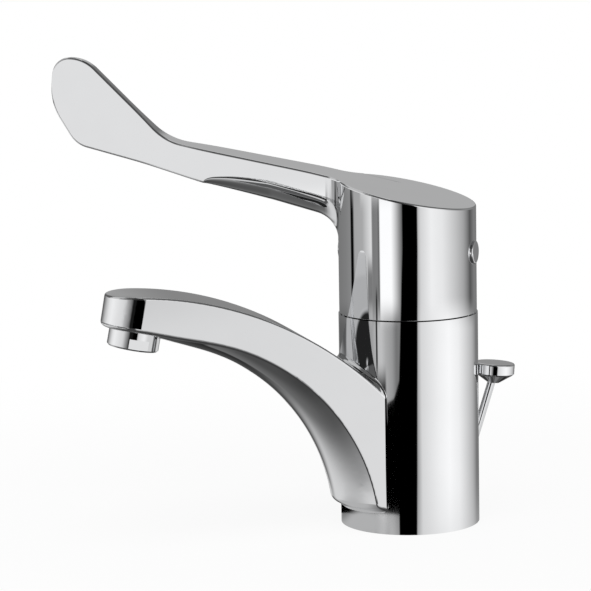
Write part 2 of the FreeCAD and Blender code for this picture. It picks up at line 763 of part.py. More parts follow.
def make_gasket():
    body = new_body("gasket")
    turned(body, "gasket_ring", rectangle(s.gasket_inner, 0, s.gasket_outer, s.gasket_height))
    keep(body, "base_gasket")


# Aerator: modelled upright about the outlet's axis, then leaned with the tip

def stand_at_outlet(body):
    """Put a piece whose Z axis is the outlet's axis in its place under the tip."""
    body.Placement.Rotation = Rotation(Vector(0, 1, 0), s.tip_tilt.number)
    bind(body, "Placement.Base.x", -s.spout_reach)
    bind(body, "Placement.Base.z", s.tip_height)
    bind(body, "Placement.Rotation.Angle", s.tip_tilt)


def make_aerator():
    lip_top = s.aerator_lip_height - s.collar_length
    thread_top = s.aerator_thread_length - s.aerator_washer_height
    housing = new_body("aerator_collar")
    turned(housing, "collar", [
        (s.aerator_lip_radius, -s.collar_length),
        (s.collar_radius - s.collar_edge, -s.collar_length),
        (s.collar_radius, s.collar_edge - s.collar_length),
        (s.collar_radius, 0),
        (s.aerator_thread_radius, 0),
        (s.aerator_thread_radius, thread_top),
        (s.aerator_bore_radius, thread_top),
        (s.aerator_bore_radius, lip_top),
        (s.aerator_lip_radius, lip_top),
    ])
    half = s.wrench_flat_width / 2
    low = s.collar_edge - s.collar_length
    for side, name in ((1, "near"), (-1, "far")):
        sunk(
            housing, f"{name}_key_notch",
            lambda sketch: outline(sketch, rectangle(-half, low, half, low + s.wrench_flat_height)),
            s.wrench_flat_depth * 3, role="XZ_Plane",
            offset=(s.wrench_flat_depth - s.collar_radius) * side, reverse=side < 0,
        )
    stand_at_outlet(housing)
    keep(housing, "aerator_housing")

    insert = new_body("flow_straightener")
    radius = s.aerator_bore_radius - s.slip
    turned(insert, "straightener_disc", rectangle(0, lip_top, radius, thread_top))

    def holes(sketch):
        pitch = s.honeycomb_pitch
        for row in range(-2, 3):
            count = 5 - abs(row)
            for place in range(count):
                across = pitch * (place - (count - 1) / 2)
                ring(sketch, across, pitch * (row * math.sqrt(3) / 2), s.honeycomb_hole)

    sunk(insert, "straightener_holes", holes, s.collar_length * 4, middle=True)
    stand_at_outlet(insert)
    keep(insert, "aerator_insert")

    washer = new_body("mouth_washer")
    turned(washer, "washer_ring", rectangle(
        s.aerator_lip_radius, thread_top, s.aerator_thread_radius, s.aerator_thread_length
    ))
    stand_at_outlet(washer)
    keep(washer, "aerator_washer")


# Cartridge: heights from the seat upwards

base_top = seat_height + s.cartridge_base_height
flange_top = seat_height + s.base_flange_height
fixed_top = base_top + s.disc_height
moving_low = fixed_top + s.running
moving_top = moving_low + s.disc_height
carrier_top = moving_top + s.carrier_height
rotor_low = carrier_top + s.rest_gap
rotor_flange_top = rotor_low + s.rotor_flange_height
bearing_top = rotor_flange_top + s.bearing_ring_height
housing_top = seat_height + s.cartridge_height
rotor_top = housing_top - s.rest_gap
ball_height = (moving_top + carrier_top) / 2
nut_low = seat_height + s.cartridge_shoulder
nut_flange_top = nut_low + s.nut_thread_height
cavity = s.base_plug_radius + s.slip
cover_top = housing_top + s.rest_gap + s.cover_wall


def water_ports(sketch, radius):
    """The two inlet ports and the outlet port."""
    ring(sketch, s.inlet_back, s.inlet_spacing, radius)
    ring(sketch, s.inlet_back, -s.inlet_spacing, radius)
    ring(sketch, -s.port_spacing, 0, radius)


def seal_rings(label, low):
    """Three rubber rings round the ports, from this height up."""
    wire = s.seal_wire
    body_pieces = []
    places = (
        ("hot", s.inlet_back, s.inlet_spacing),
        ("cold", s.inlet_back, -s.inlet_spacing),
        ("outlet", -s.port_spacing, as_size(0)),
    )
    for name, out, side in places:
        seal = doc.addObject("Part::Torus", f"{label}_{name}")
        bind(seal, "Radius1", s.port_radius + wire + s.slip)
        bind(seal, "Radius2", wire)
        bind(seal, "Placement.Base.x", out)
        bind(seal, "Placement.Base.y", side)
        bind(seal, "Placement.Base.z", low + wire)
        body_pieces.append(seal)
    group = doc.addObject("Part::Compound", label)
    group.Links = body_pieces
    keep(group, label)


def make_cartridge():
    base = new_body("ported_base")
    turned(base, "base_solid", [
        (0, seat_height), (s.cartridge_radius, seat_height), (s.cartridge_radius, flange_top),
        (s.base_plug_radius, flange_top), (s.base_plug_radius, base_top), (0, base_top),
    ])
    groove = s.port_radius + s.seal_wire * 2 + s.slip * 2
    depth = s.seal_wire * 2
    whole = s.cartridge_base_height * 4
    sunk(base, "ports", lambda k: water_ports(k, s.port_radius), whole,
         offset=seat_height, middle=True)
    sunk(base, "lower_seal_seats", lambda k: water_ports(k, groove), depth,
         offset=seat_height, reverse=True)
    sunk(base, "upper_seal_seats", lambda k: water_ports(k, groove), depth, offset=base_top)
    keep(base, "cartridge_base")
    seal_rings("base_seals", seat_height)
    seal_rings("disc_seals", base_top - depth)

    housing = new_body("housing")
    bore = s.rotor_radius + s.running
    turned(housing, "housing_shell", [
        (cavity, flange_top), (s.cartridge_radius, flange_top), (s.cartridge_radius, nut_low),
        (s.cartridge_neck_radius, nut_low),
        (s.cartridge_neck_radius, seat_height + s.cartridge_neck_height),
        (s.cartridge_top_radius, seat_height + s.cartridge_neck_height),
        (s.cartridge_top_radius, housing_top), (bore, housing_top),
        (bore, bearing_top + s.running), (cavity, bearing_top + s.running),
    ])
    keep(housing, "cartridge_housing")

    fixed = new_body("fixed_disc")
    turned(fixed, "fixed_solid", rectangle(0, base_top, s.fixed_disc_radius, fixed_top))
    sunk(fixed, "fixed_ports", lambda k: water_ports(k, s.port_radius), s.disc_height * 4,
         offset=fixed_top, middle=True)
    keep(fixed, "fixed_ceramic_disc")


def stand_turned(body):
    """Turn a piece with the handle. It is modelled with the lever pointing along -X."""
    body.Placement.Rotation = Rotation(Vector(0, 0, -1), s.handle_turn.number)
    bind(body, "Placement.Rotation.Angle", s.handle_turn)


def make_discs():
    moving = new_body("moving_disc")
    turned(moving, "moving_solid", rectangle(0, moving_low, s.moving_disc_radius, moving_top))
    sunk(moving, "mixing_recess", lambda k: ring(k, 0, 0, s.mixing_recess_radius),
         s.disc_height / 2, offset=moving_low, reverse=True)
    stand_turned(moving)
    keep(moving, "moving_ceramic_disc")

    carrier = new_body("carrier")
    turned(carrier, "carrier_solid", rectangle(0, moving_top, s.moving_disc_radius, carrier_top))
    sunk(carrier, "ball_socket", lambda k: ring(k, 0, 0, s.stem_ball_radius + s.ball_gap),
         s.carrier_height * 3, offset=carrier_top)
    stand_turned(carrier)
    keep(carrier, "disc_carrier")


def make_rotor():
    rotor = new_body("turning_rotor")
    turned(rotor, "rotor_solid", [
        (0, rotor_low), (s.rotor_flange_radius, rotor_low),
        (s.rotor_flange_radius, rotor_flange_top), (s.rotor_radius, rotor_flange_top),
        (s.rotor_radius, rotor_top), (0, rotor_top),
    ])
    half = s.stem_waist / 2 + s.running
    sunk(rotor, "stem_slot",
         lambda k: outline(k, rectangle(-s.slot_front, -half, s.slot_rear, half)),
         s.cartridge_height * 2, offset=rotor_top)
    sunk(rotor, "pin_hole", lambda k: ring(k, 0, pivot, s.pin_radius + s.running / 2),
         s.rotor_radius * 4, role="XZ_Plane", middle=True)
    stand_turned(rotor)
    keep(rotor, "cartridge_rotor")

    pin = new_body("cross_pin")
    raised(pin, "pin_solid", lambda k: ring(k, 0, pivot, s.pin_radius),
           s.rotor_radius * 2 - s.rest_gap * 2, role="XZ_Plane", middle=True)
    stand_turned(pin)
    keep(pin, "pivot_pin")

    slip_ring = new_body("slip_ring")
    turned(slip_ring, "slip_ring_solid", rectangle(
        s.rotor_radius + s.slip, rotor_flange_top, s.rotor_flange_radius, bearing_top
    ))
    stand_turned(slip_ring)
    keep(slip_ring, "rotor_slip_ring")


def make_stem():
    stem = new_body("spindle")
    square_low = pivot + s.stem_square_rise
    top = pivot + s.stem_top
    waist = s.stem_waist / 2
    side = s.stem_side / 2
    block_low = rotor_low + s.rest_gap
    raised(stem, "waist_block",
           lambda k: outline(k, rectangle(-waist, -waist, waist, waist)),
           square_low - block_low, offset=block_low)
    raised(stem, "square_end", lambda k: outline(k, rectangle(-side, -side, side, side)),
           top - square_low, offset=square_low)
    neck = s.stem_neck_radius
    ball = s.stem_ball_radius
    turned(stem, "finger", rectangle(0, ball_height, neck, block_low))
    sketch = new_sketch(stem, "ball_profile")
    centre = Vector(0, ball_height.number, 0)
    arc = Part.ArcOfCircle(
        Part.Circle(centre, Vector(0, 0, 1), ball.number), -math.pi / 2, math.pi / 2
    )
    bow = sketch.addGeometry(arc, False)
    chord = sketch.addGeometry(Part.LineSegment(arc.EndPoint, arc.StartPoint), False)
    sketch.addConstraint(Sketcher.Constraint("Coincident", bow, 2, chord, 1))
    sketch.addConstraint(Sketcher.Constraint("Coincident", bow, 1, chord, 2))
    sketch.addConstraint(Sketcher.Constraint("Vertical", chord))
    pin_point(sketch, bow, 3, 0, ball_height)
    sketch.addConstraint(Sketcher.Constraint("PointOnObject", bow, 1, -2))
    index = sketch.addConstraint(Sketcher.Constraint("Radius", bow, ball.number))
    sketch.setExpression(f"Constraints[{index}]", ball.text)
    bead = stem.newObject("PartDesign::Revolution", "ball")
    bead.Profile = sketch
    bead.ReferenceAxis = (sketch, ["V_Axis"])
    bead.Angle = 360.0
    sunk(stem, "stem_pin_hole", lambda k: ring(k, 0, pivot, s.pin_radius + s.running),
         s.stem_side * 3, role="XZ_Plane", middle=True)
    stand_turned(stem)
    keep(stem, "lever_stem")


def make_nut_and_cover():
    nut = new_body("clamp_nut")
    inner = s.cartridge_neck_radius + s.slip
    collar_top = nut_flange_top + s.nut_collar_height
    turned(nut, "nut_solid", [
        (inner, nut_low), (s.nut_radius, nut_low), (s.nut_radius, nut_flange_top),
        (s.nut_collar_radius, nut_flange_top), (s.nut_collar_radius, collar_top),
        (inner, collar_top),
    ])
    half = s.nut_notch_width / 2
    notch = sunk(
        nut, "key_notch",
        lambda k: outline(k, rectangle(-half, -s.nut_radius * 2, half, 0)),
        s.nut_collar_height / 2, offset=collar_top,
    )
    pattern = nut.newObject("PartDesign::PolarPattern", "key_notches")
    pattern.Originals = [notch]
    pattern.Axis = (notch.Profile[0], ["N_Axis"])
    pattern.Angle = 360.0
    pattern.Occurrences = 6
    nut.Tip = pattern
    keep(nut, "retaining_nut")

    cover = new_body("dome")
    wall = s.cover_wall
    turn = s.cover_shoulder
    low = nut_flange_top + s.slip
    turned(cover, "dome_shell", [
        (s.cover_radius - wall, low), (s.cover_radius, low),
        (s.cover_radius, cover_top, turn), (s.cover_top_radius, cover_top),
        (s.cover_top_radius, cover_top - wall),
        (s.cover_radius - wall, cover_top - wall, turn - wall),
    ])
    keep(cover, "cartridge_cover")


# Handle: modelled with the lever along -X

cap_middle = s.seam_height + s.cap_height
cap_rise = tan_of(s.cap_tilt)
plug_level = s.seam_height + s.plug_height
plug_seat = s.handle_radius - s.plug_depth
cap_ceiling = s.seam_height + s.cap_ceiling


def make_lever_blank():
    """The lever's blade. Its sides flare into the cap, and its inner end lies inside it."""
    blade = new_body("lever_blade")
    radius = s.handle_radius
    inner = s.lever_start_out
    fall = (s.lever_heel_height - s.lever_root_bottom) / (s.lever_heel_out - radius)
    root_half = s.lever_root_width / 2
    swell = s.lever_swell_width / 2
    thin = s.paddle_thickness / 2
    touch = radius - s.lever_blend_sink
    across = touch + s.lever_blend
    flare_side = root_half + s.lever_blend
    flare_out = root(across * across - flare_side * flare_side)
    run_out, run_side = flare_side / across, flare_out / across
    touch_out, touch_side = flare_out * touch / across, flare_side * touch / across
    past = s.lever_blend / 4
    back = (touch_side - root_half) / run_side
    corner_out = touch_out + run_out * back
    end_out, end_side = touch_out - run_out * past, touch_side + run_side * past
    raised(blade, "blade_outline", lambda k: outline(k, [
        (-inner, s.lever_root_bottom - (radius - inner) * fall),
        (-inner, cap_middle + inner * cap_rise),
        (-s.lever_brow_out, cap_middle + s.lever_brow_out * cap_rise, s.lever_brow_rounding),
        (-s.lever_neck_out, s.lever_neck_top, s.lever_neck_rounding),
        (-s.paddle_shoulder_out, s.paddle_top, s.paddle_shoulder_rounding),
        (-s.lever_reach - s.paddle_overhang, s.paddle_top, s.paddle_crown_rounding),
        (-s.lever_reach, s.paddle_tip_low, s.paddle_tip_rounding),
        (-s.lever_heel_out, s.lever_heel_height, s.paddle_heel_rounding),
    ]), end_side * 2, role="XZ_Plane", middle=True)
    beyond = s.lever_cut_out
    for side, name in ((1, "near"), (-1, "far")):
        sunk(blade, f"{name}_side", lambda k: outline(k, [
            (-end_out, end_side * side),
            (-corner_out, root_half * side, s.lever_blend),
            (-s.lever_swell_out, swell * side, s.lever_swell_rounding),
            (-s.lever_thin_out, thin * side, s.lever_swell_rounding),
            (-beyond, thin * side),
            (-beyond, end_side * 2 * side),
            (-end_out, end_side * 2 * side),
        ]), s.paddle_top * 3, middle=True)
    return blade


def handle_rim(edge):
    """Whether an edge runs round the cap's top or along one of the lever's sides."""
    first, last = edge.valueAt(edge.FirstParameter), edge.valueAt(edge.LastParameter)
    at = middle(edge)
    if math.hypot(at.x, at.y) < s.handle_radius.number + s.lever_blend_sink.number:
        top_plane = cap_middle.number - at.x * cap_rise.number
        return abs(at.z - top_plane) < 0.1
    upright = abs(first.x - last.x) < 0.01
    return abs(at.y) > 1 and not upright and at.z > plug_level.number


def make_handle():
    cap = new_body("cap_blank")
    radius = s.handle_radius
    high = cap_middle + radius * cap_rise + 1
    turned(cap, "cap_solid", rectangle(0, handle_bottom, radius, high))
    wide = radius * 2
    sunk(cap, "slanted_top", lambda k: outline(k, [
        (-wide, cap_middle + wide * cap_rise), (wide, cap_middle - wide * cap_rise),
        (wide, high * 2), (-wide, high * 2),
    ]), wide * 3, role="XZ_Plane", middle=True)
    joined = fused("handle_blank", [cap, make_lever_blank()])
    joined.Refine = True
    blank = rounded("handle_rounded", joined, s.lever_edge, handle_rim)

    inner = radius - s.handle_wall
    boss_low = cap_ceiling - s.boss_drop
    hollow = new_body("cap_hollow")
    turned(hollow, "cap_room", [
        (0, 0), (inner, 0), (inner, cap_ceiling, s.ceiling_rounding),
        (s.boss_radius, cap_ceiling), (s.boss_radius, boss_low), (0, boss_low),
    ])
    half = s.stem_side / 2 + s.slip
    raised(hollow, "stem_socket", lambda k: outline(k, rectangle(-half, -half, half, half)),
           pivot + s.stem_top + s.slip - boss_low, offset=boss_low)
    hole = s.plug_radius + s.slip
    upright = as_size(90)
    peg = s.peg_radius + s.slip
    cores = [
        hollow,
        cylinder("rear_plug_room", hole, s.plug_depth * 2, out=plug_seat, up=plug_level,
                 tilt=upright),
        cylinder("rear_peg_room", peg, s.handle_wall * 2, out=plug_seat - s.handle_wall,
                 up=plug_level, tilt=upright),
        cylinder("front_plug_room", hole, s.plug_depth * 2, out=-plug_seat - s.plug_depth * 2,
                 up=plug_level, tilt=upright),
        cylinder("screw_room", s.screw_radius + s.slip / 2, plug_seat, out=-plug_seat,
                 up=plug_level, tilt=upright),
    ]
    handle = cut("handle_shape", blank, fused("handle_cores", cores))
    stand_turned(handle)
    keep(handle, "handle")


def make_handle_fittings():
    """The grub screw and the two plugs."""
    upright = as_size(90)
    screw_end = s.stem_side / 2 + s.slip
    screw_start = -screw_end - s.screw_length
    screw = cylinder("screw_solid", s.screw_radius, s.screw_length, out=screw_start,
                     up=plug_level, tilt=upright)
    key = doc.addObject("Part::Prism", "screw_key")
    key.Polygon = 6
    bind(key, "Circumradius", s.screw_socket)
    bind(key, "Height", s.screw_length / 2)
    bind(key, "Placement.Base.x", screw_start)
    bind(key, "Placement.Base.z", plug_level)
    key.Placement.Rotation = Rotation(Vector(0, 1, 0), 90)
    grub = cut("grub_screw_shape", screw, key)
    stand_turned(grub)
    keep(grub, "grub_screw")

    front = cylinder("front_plug_solid", s.plug_radius, s.plug_depth + s.front_plug_proud,
                     out=-s.handle_radius - s.front_plug_proud, up=plug_level, tilt=upright)
    outer_rim = rounded("front_plug_rounded", front, s.front_plug_proud,
                        lambda e: middle(e).x < -s.handle_radius.number)
    stand_turned(outer_rim)
    keep(outer_rim, "front_plug")

    rear = cylinder("rear_plug_solid", s.plug_radius, s.plug_depth + s.rear_plug_proud,
                    out=plug_seat, up=plug_level, tilt=upright)
    rear_rim = rounded("rear_plug_rounded", rear, s.rear_plug_proud - s.slip,
                       lambda e: middle(e).x > s.handle_radius.number)
    peg = cylinder("rear_peg", s.peg_radius, s.handle_wall, out=plug_seat - s.handle_wall / 2,
                   up=plug_level, tilt=upright)
    plug = fused("rear_plug_shape", [rear_rim, peg])
    stand_turned(plug)
    keep(plug, "rear_plug")


# Pop-up rod: everything lies on the rod's leaning line

lean = tan_of(s.rod_tilt)
upright_share = cos_of(s.rod_tilt)
bush_low = s.rod_guide_height - s.bush_length * upright_share


def make_rod():
    bore = s.rod_radius + s.rod_gap
    shell = cylinder("bush_shell", s.bush_radius, s.bush_length,
                     out=s.rod_foot + bush_low * lean, up=bush_low, tilt=s.rod_tilt)
    hole = cylinder("bush_bore", bore, s.bush_length * 3, up=bush_low - s.bush_length,
                    out=s.rod_foot + (bush_low - s.bush_length) * lean, tilt=s.rod_tilt)
    keep(cut("bush_shape", shell, hole), "rod_bush")

    length = (s.rod_top - s.rod_bottom) / upright_share
    rod = cylinder("rod_solid", s.rod_radius, length, out=s.rod_foot + s.rod_bottom * lean,
                   up=s.rod_bottom, tilt=s.rod_tilt)
    keep(rod, "lift_rod")

    knob = new_body("knob")
    rim_low = -s.knob_height
    cone_low = rim_low - s.knob_cone
    turned(knob, "knob_solid", [
        (0, cone_low), (s.knob_stem_radius, cone_low),
        (s.knob_radius - s.knob_edge, rim_low), (s.knob_radius, rim_low + s.knob_edge),
        (s.knob_radius, 0, s.knob_edge), (0, 0),
    ])
    knob.Placement.Rotation = Rotation(Vector(0, 1, 0), s.knob_tilt.number)
    bind(knob, "Placement.Base.x", s.knob_out)
    bind(knob, "Placement.Base.z", s.knob_top)
    bind(knob, "Placement.Rotation.Angle", s.knob_tilt)
    drill = cylinder("knob_drill", s.rod_radius + s.slip / 2, length + s.slip,
                     out=s.rod_foot + s.rod_bottom * lean, up=s.rod_bottom, tilt=s.rod_tilt)
    keep(cut("knob_shape", knob, drill), "rod_knob")


make_casting()
make_gasket()
make_aerator()
make_cartridge()
make_discs()
make_rotor()
make_stem()
make_nut_and_cover()
make_handle()
make_handle_fittings()
make_rod()
doc.recompute()
for thing in doc.Objects:
    if any(word in thing.State for word in ("Invalid", "Error")):
        raise RuntimeError(f"{thing.Name} failed: {thing.State}")
os.makedirs("parts", exist_ok=True)
for thing in made:
    shape = thing.Shape
    if shape.isNull() or not shape.isValid():
        raise RuntimeError(f"{thing.Label} has no valid shape")
    print(thing.Label, round(shape.Volume, 1), len(shape.Solids))
    shape.exportStep(f"parts/{thing.Label}.step")
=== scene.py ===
import json
import math

import bmesh
import bpy
import numpy as np
from mathutils import Matrix, Vector


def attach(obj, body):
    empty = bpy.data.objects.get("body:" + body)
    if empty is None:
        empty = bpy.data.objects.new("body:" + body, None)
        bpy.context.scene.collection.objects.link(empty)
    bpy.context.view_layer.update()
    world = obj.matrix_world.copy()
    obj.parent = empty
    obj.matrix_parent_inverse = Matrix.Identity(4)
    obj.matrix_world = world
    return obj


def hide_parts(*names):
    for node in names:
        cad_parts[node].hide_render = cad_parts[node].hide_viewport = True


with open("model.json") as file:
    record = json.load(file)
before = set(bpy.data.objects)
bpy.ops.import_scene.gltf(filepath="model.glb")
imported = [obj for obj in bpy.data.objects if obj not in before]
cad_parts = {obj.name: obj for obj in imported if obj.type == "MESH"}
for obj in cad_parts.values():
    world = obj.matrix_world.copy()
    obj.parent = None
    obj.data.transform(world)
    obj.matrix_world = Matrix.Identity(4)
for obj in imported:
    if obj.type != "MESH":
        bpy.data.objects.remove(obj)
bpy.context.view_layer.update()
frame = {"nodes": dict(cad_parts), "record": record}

bl_info = {
    "name": "Basin mixer tap",
    "version": (1, 0, 0),
    "blender": (4, 5, 0),
    "location": "3D View > Sidebar > Tap",
    "description": "Builds the finishes, surfaces and studio of a chromed basin mixer tap",
    "category": "Object",
}

# Shader maths


class Value:
    """A number socket that takes part in Python expressions through Math nodes."""

    def __init__(self, shader, socket):
        self.shader = shader
        self.socket = socket

    def math(self, operation, *others):
        return self.shader.node("ShaderNodeMath", {"operation": operation},
                                dict(enumerate((self, *others))))["Value"]

    def __add__(self, other):
        return self.math("ADD", other)

    def __radd__(self, other):
        return self.math("ADD", other)

    def __sub__(self, other):
        return self.math("SUBTRACT", other)

    def __rsub__(self, other):
        return (self * -1.0) + other

    def __mul__(self, other):
        return self.math("MULTIPLY", other)

    def __truediv__(self, other):
        return self.math("DIVIDE", other)

    def rise(self, start, end):
        """0 below start, 1 above end and a smooth step between them."""
        return self.shader.node(
            "ShaderNodeMapRange", {"interpolation_type": "SMOOTHSTEP", "clamp": True},
            {"Value": self, "From Min": start, "From Max": end})["Result"]


class Outputs:
    """The output sockets of a node, as values."""

    def __init__(self, shader, node):
        self.shader = shader
        self.node = node

    def __getitem__(self, name):
        return Value(self.shader, self.node.outputs[name])


class Shader:
    """A node tree that is written as expressions."""

    def __init__(self, tree):
        self.tree = tree
        tree.nodes.clear()

    def node(self, kind, settings=None, sockets=None):
        """Adds a node: first its settings, then the values or links of its sockets."""
        node = self.tree.nodes.new(kind)
        for name, setting in (settings or {}).items():
            if name == "stops":
                self.set_stops(node.color_ramp, setting)
            else:
                setattr(node, name, setting)
        for name, given in (sockets or {}).items():
            socket = node.inputs[name]
            if isinstance(given, Value):
                self.tree.links.new(given.socket, socket)
            else:
                socket.default_value = given
        return Outputs(self, node)

    @staticmethod
    def set_stops(ramp, stops):
        """Puts grey or coloured stops, given as (place, colour), on a colour ramp."""
        while len(ramp.elements) > 1:
            ramp.elements.remove(ramp.elements[-1])
        for index, (place, colour) in enumerate(stops):
            element = ramp.elements[0] if index == 0 else ramp.elements.new(place)
            element.position = place
            element.color = (*colour, 1.0) if isinstance(colour, tuple) else (colour,) * 3 + (1.0,)

    def object_place(self):
        """The place on the piece, in metres of the tap's own frame."""
        return self.node("ShaderNodeTexCoord")["Object"]

    def noise(self, place, scale, detail=2.0, roughness=0.5):
        return self.node("ShaderNodeTexNoise", {"noise_dimensions": "3D"},
                         {"Vector": place, "Scale": scale, "Detail": detail,
                          "Roughness": roughness})["Fac"]

    def stretched(self, place, along):
        """The place scaled differently along x, y and z, for grain with a direction."""
        return self.node("ShaderNodeMapping", {"vector_type": "POINT"},
                         {"Vector": place, "Scale": along})["Vector"]

    def bump(self, height, strength, distance):
        return self.node("ShaderNodeBump", None,
                         {"Height": height, "Strength": strength, "Distance": distance})["Normal"]

    def mixed(self, share, first, second):
        """The first colour turning into the second with the share."""
        mix = self.node("ShaderNodeMix", {"data_type": "RGBA"})
        for name, given in ((0, share), (6, first), (7, second)):
            socket = mix.node.inputs[name]
            if isinstance(given, Value):
                self.tree.links.new(given.socket, socket)
            else:
                socket.default_value = given
        return Value(self, mix.node.outputs[2])

    def surface(self, sockets):
        """The finish itself: one Principled shader on the material's output."""
        finish = self.node("ShaderNodeBsdfPrincipled", None, sockets)
        self.node("ShaderNodeOutputMaterial", None, {"Surface": finish["BSDF"]})


def new_material(name):
    material = bpy.data.materials.new(name)
    material.use_nodes = True
    return material, Shader(material.node_tree)


def opaque(colour):
    return (*colour, 1.0)


def shade_of(colour, factor):
    """The colour made lighter or darker."""
    return tuple(part * factor for part in colour) + (1.0,)


# Surfaces: arrays of points, in millimetres until they go into a mesh


def smooth_step(value, start, end):
    """3x^2 - 2x^3, where x goes from 0 at start to 1 at end."""
    x = np.clip((value - start) / (end - start), 0.0, 1.0)
    return x * x * (3 - 2 * x)


def rounded_line(corners, step=math.radians(2.5)):
    """A line through corners (u, z, radius), in which an arc replaces each corner.

    The arc touches both runs at radius * tan(turn / 2) from the corner. Its centre lies that
    far along the run and one radius to the side of the turn.
    """
    points = np.array([corner[:2] for corner in corners], dtype=float)
    runs = np.diff(points, axis=0)
    runs /= np.linalg.norm(runs, axis=1)[:, None]
    line = [points[:1]]
    for i, (u, z, radius) in enumerate(corners[1:-1]):
        before, after = runs[i], runs[i + 1]
        cross = before[0] * after[1] - before[1] * after[0]
        turn = math.atan2(cross, float(before @ after))
        touch = np.array((u, z)) - before * radius * math.tan(abs(turn) / 2)
        side = math.copysign(1.0, turn)
        normal = np.array((-before[1], before[0])) * side
        angle = np.linspace(0, abs(turn), max(3, int(abs(turn) / step) + 2))[:, None]
        line.append(touch + radius * (before * np.sin(angle) + normal * (1 - np.cos(angle))))
    line.append(points[-1:])
    return np.concatenate(line)


def grid_faces(rows, columns, start, ring=False):
    """Four corners of each cell of a grid of points; a ring's last column meets its first."""
    numbers = np.arange(rows * columns).reshape(rows, columns) + start
    if ring:
        numbers = np.concatenate((numbers, numbers[:, :1]), axis=1)
    return np.stack((numbers[:-1, :-1], numbers[:-1, 1:], numbers[1:, 1:], numbers[1:, :-1]),
                    axis=-1).reshape(-1, 4)


def surface_piece(name, grids, slot, body, turn=0.0):
    """Puts grids of points (rows, columns, xyz) into one mesh, turned about the tap's axis.

    A grid comes with a flag that says whether it closes on itself sideways. Points that
    meet are merged, so that seams and poles close, and the faces are then turned outwards.
    """
    merged_within, shortest_edge, crease = 1e-6, 1e-7, math.radians(40)
    points, faces, start = [], [], 0
    for grid, ring in grids:
        rows, columns = grid.shape[:2]
        points.append(grid.reshape(-1, 3))
        faces.append(grid_faces(rows, columns, start, ring))
        start += rows * columns
    places = np.concatenate(points) / 1000.0
    places = places @ np.array(Matrix.Rotation(turn, 3, "Z")).T
    mesh = bpy.data.meshes.new(name)
    mesh.from_pydata(places, [], np.concatenate(faces))
    work = bmesh.new()
    work.from_mesh(mesh)
    bmesh.ops.remove_doubles(work, verts=work.verts, dist=merged_within)
    bmesh.ops.dissolve_degenerate(work, edges=work.edges, dist=shortest_edge)
    bmesh.ops.recalc_face_normals(work, faces=work.faces)
    for face in work.faces:
        face.smooth = True
    work.to_mesh(mesh)
    work.free()
    mesh.set_sharp_from_angle(angle=crease)
    mesh.materials.append(finish(slot))
    piece = bpy.data.objects.new(name, mesh)
    bpy.context.scene.collection.objects.link(piece)
    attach(piece, body)
    return piece


# Settings


class TapFinishes(bpy.types.PropertyGroup):
    """Colours and polish of the tap's materials."""

    chrome_colour: bpy.props.FloatVectorProperty(
        name="Chrome", description="Colour of the plated surfaces",
        subtype="COLOR", size=3, min=0, max=1, default=(0.86, 0.865, 0.875))
    chrome_roughness: bpy.props.FloatProperty(
        name="Chrome roughness", description="Blur of the plating's mirror image",
        subtype="FACTOR", min=0, max=1, default=0.012)
    steel_colour: bpy.props.FloatVectorProperty(
        name="Steel", description="Colour of the pin and the grub screw",
        subtype="COLOR", size=3, min=0, max=1, default=(0.62, 0.63, 0.64))
    brass_colour: bpy.props.FloatVectorProperty(
        name="Brass", description="Colour of the turned brass pieces",
        subtype="COLOR", size=3, min=0, max=1, default=(0.74, 0.60, 0.33))
    ceramic_colour: bpy.props.FloatVectorProperty(
        name="Ceramic", description="Colour of the valve's discs",
        subtype="COLOR", size=3, min=0, max=1, default=(0.92, 0.91, 0.88))
    white_plastic_colour: bpy.props.FloatVectorProperty(
        name="White plastic", description="Colour of the cartridge's shell and base",
        subtype="COLOR", size=3, min=0, max=1, default=(0.86, 0.86, 0.84))
    grey_plastic_colour: bpy.props.FloatVectorProperty(
        name="Grey plastic", description="Colour of the rotor, the carrier and the straightener",
        subtype="COLOR", size=3, min=0, max=1, default=(0.42, 0.43, 0.45))
    rubber_colour: bpy.props.FloatVectorProperty(
        name="Rubber", description="Colour of the seals and the base gasket",
        subtype="COLOR", size=3, min=0, max=1, default=(0.05, 0.05, 0.05))


class TapHandleSizes(bpy.types.PropertyGroup):
    """Sizes of the turning cap and its long lever, in millimetres."""

    azimuth: bpy.props.FloatProperty(
        name="Direction", description="Where the lever points at rest, from +X",
        subtype="ANGLE", default=math.radians(145.0))
    cap_radius: bpy.props.FloatProperty(
        name="Cap radius", description="Outer radius of the cap", default=25.0)
    cap_wall: bpy.props.FloatProperty(
        name="Cap wall", description="Thickness of the cap's wall", default=2.4)
    cap_low: bpy.props.FloatProperty(
        name="Cap foot", description="Height of the cap's lower rim", default=77.65)
    cap_top: bpy.props.FloatProperty(
        name="Cap top", description="Height of the slanted top on the axis", default=121.5)
    cap_ceiling: bpy.props.FloatProperty(
        name="Ceiling", description="Height of the hollow cap's ceiling", default=104.0)
    boss_radius: bpy.props.FloatProperty(
        name="Boss radius", description="Radius of the boss that holds the stem", default=8.6)
    boss_low: bpy.props.FloatProperty(
        name="Boss foot", description="Height of the boss's lower end", default=94.0)
    top_slope: bpy.props.FloatProperty(
        name="Top slope", description="Rise of the top per millimetre outwards", default=0.2144)
    low_slope: bpy.props.FloatProperty(
        name="Underside slope", description="Rise of the lever's underside", default=0.2433)
    low_root: bpy.props.FloatProperty(
        name="Underside at the cap", description="Height of the underside at the cap's wall",
        default=111.0)
    edge: bpy.props.FloatProperty(
        name="Edge", description="Rounding of the rim and of the lever's edges", default=0.7)
    side_blend: bpy.props.FloatProperty(
        name="Side blend", description="Hollow rounding between cap and lever at the sides",
        default=4.5)
    low_blend: bpy.props.FloatProperty(
        name="Lower blend", description="Hollow rounding between cap and lever below",
        default=8.0)
    keel: bpy.props.FloatProperty(
        name="Keel", description="Extra rounding of the lever's lower edges near the cap",
        default=7.4)


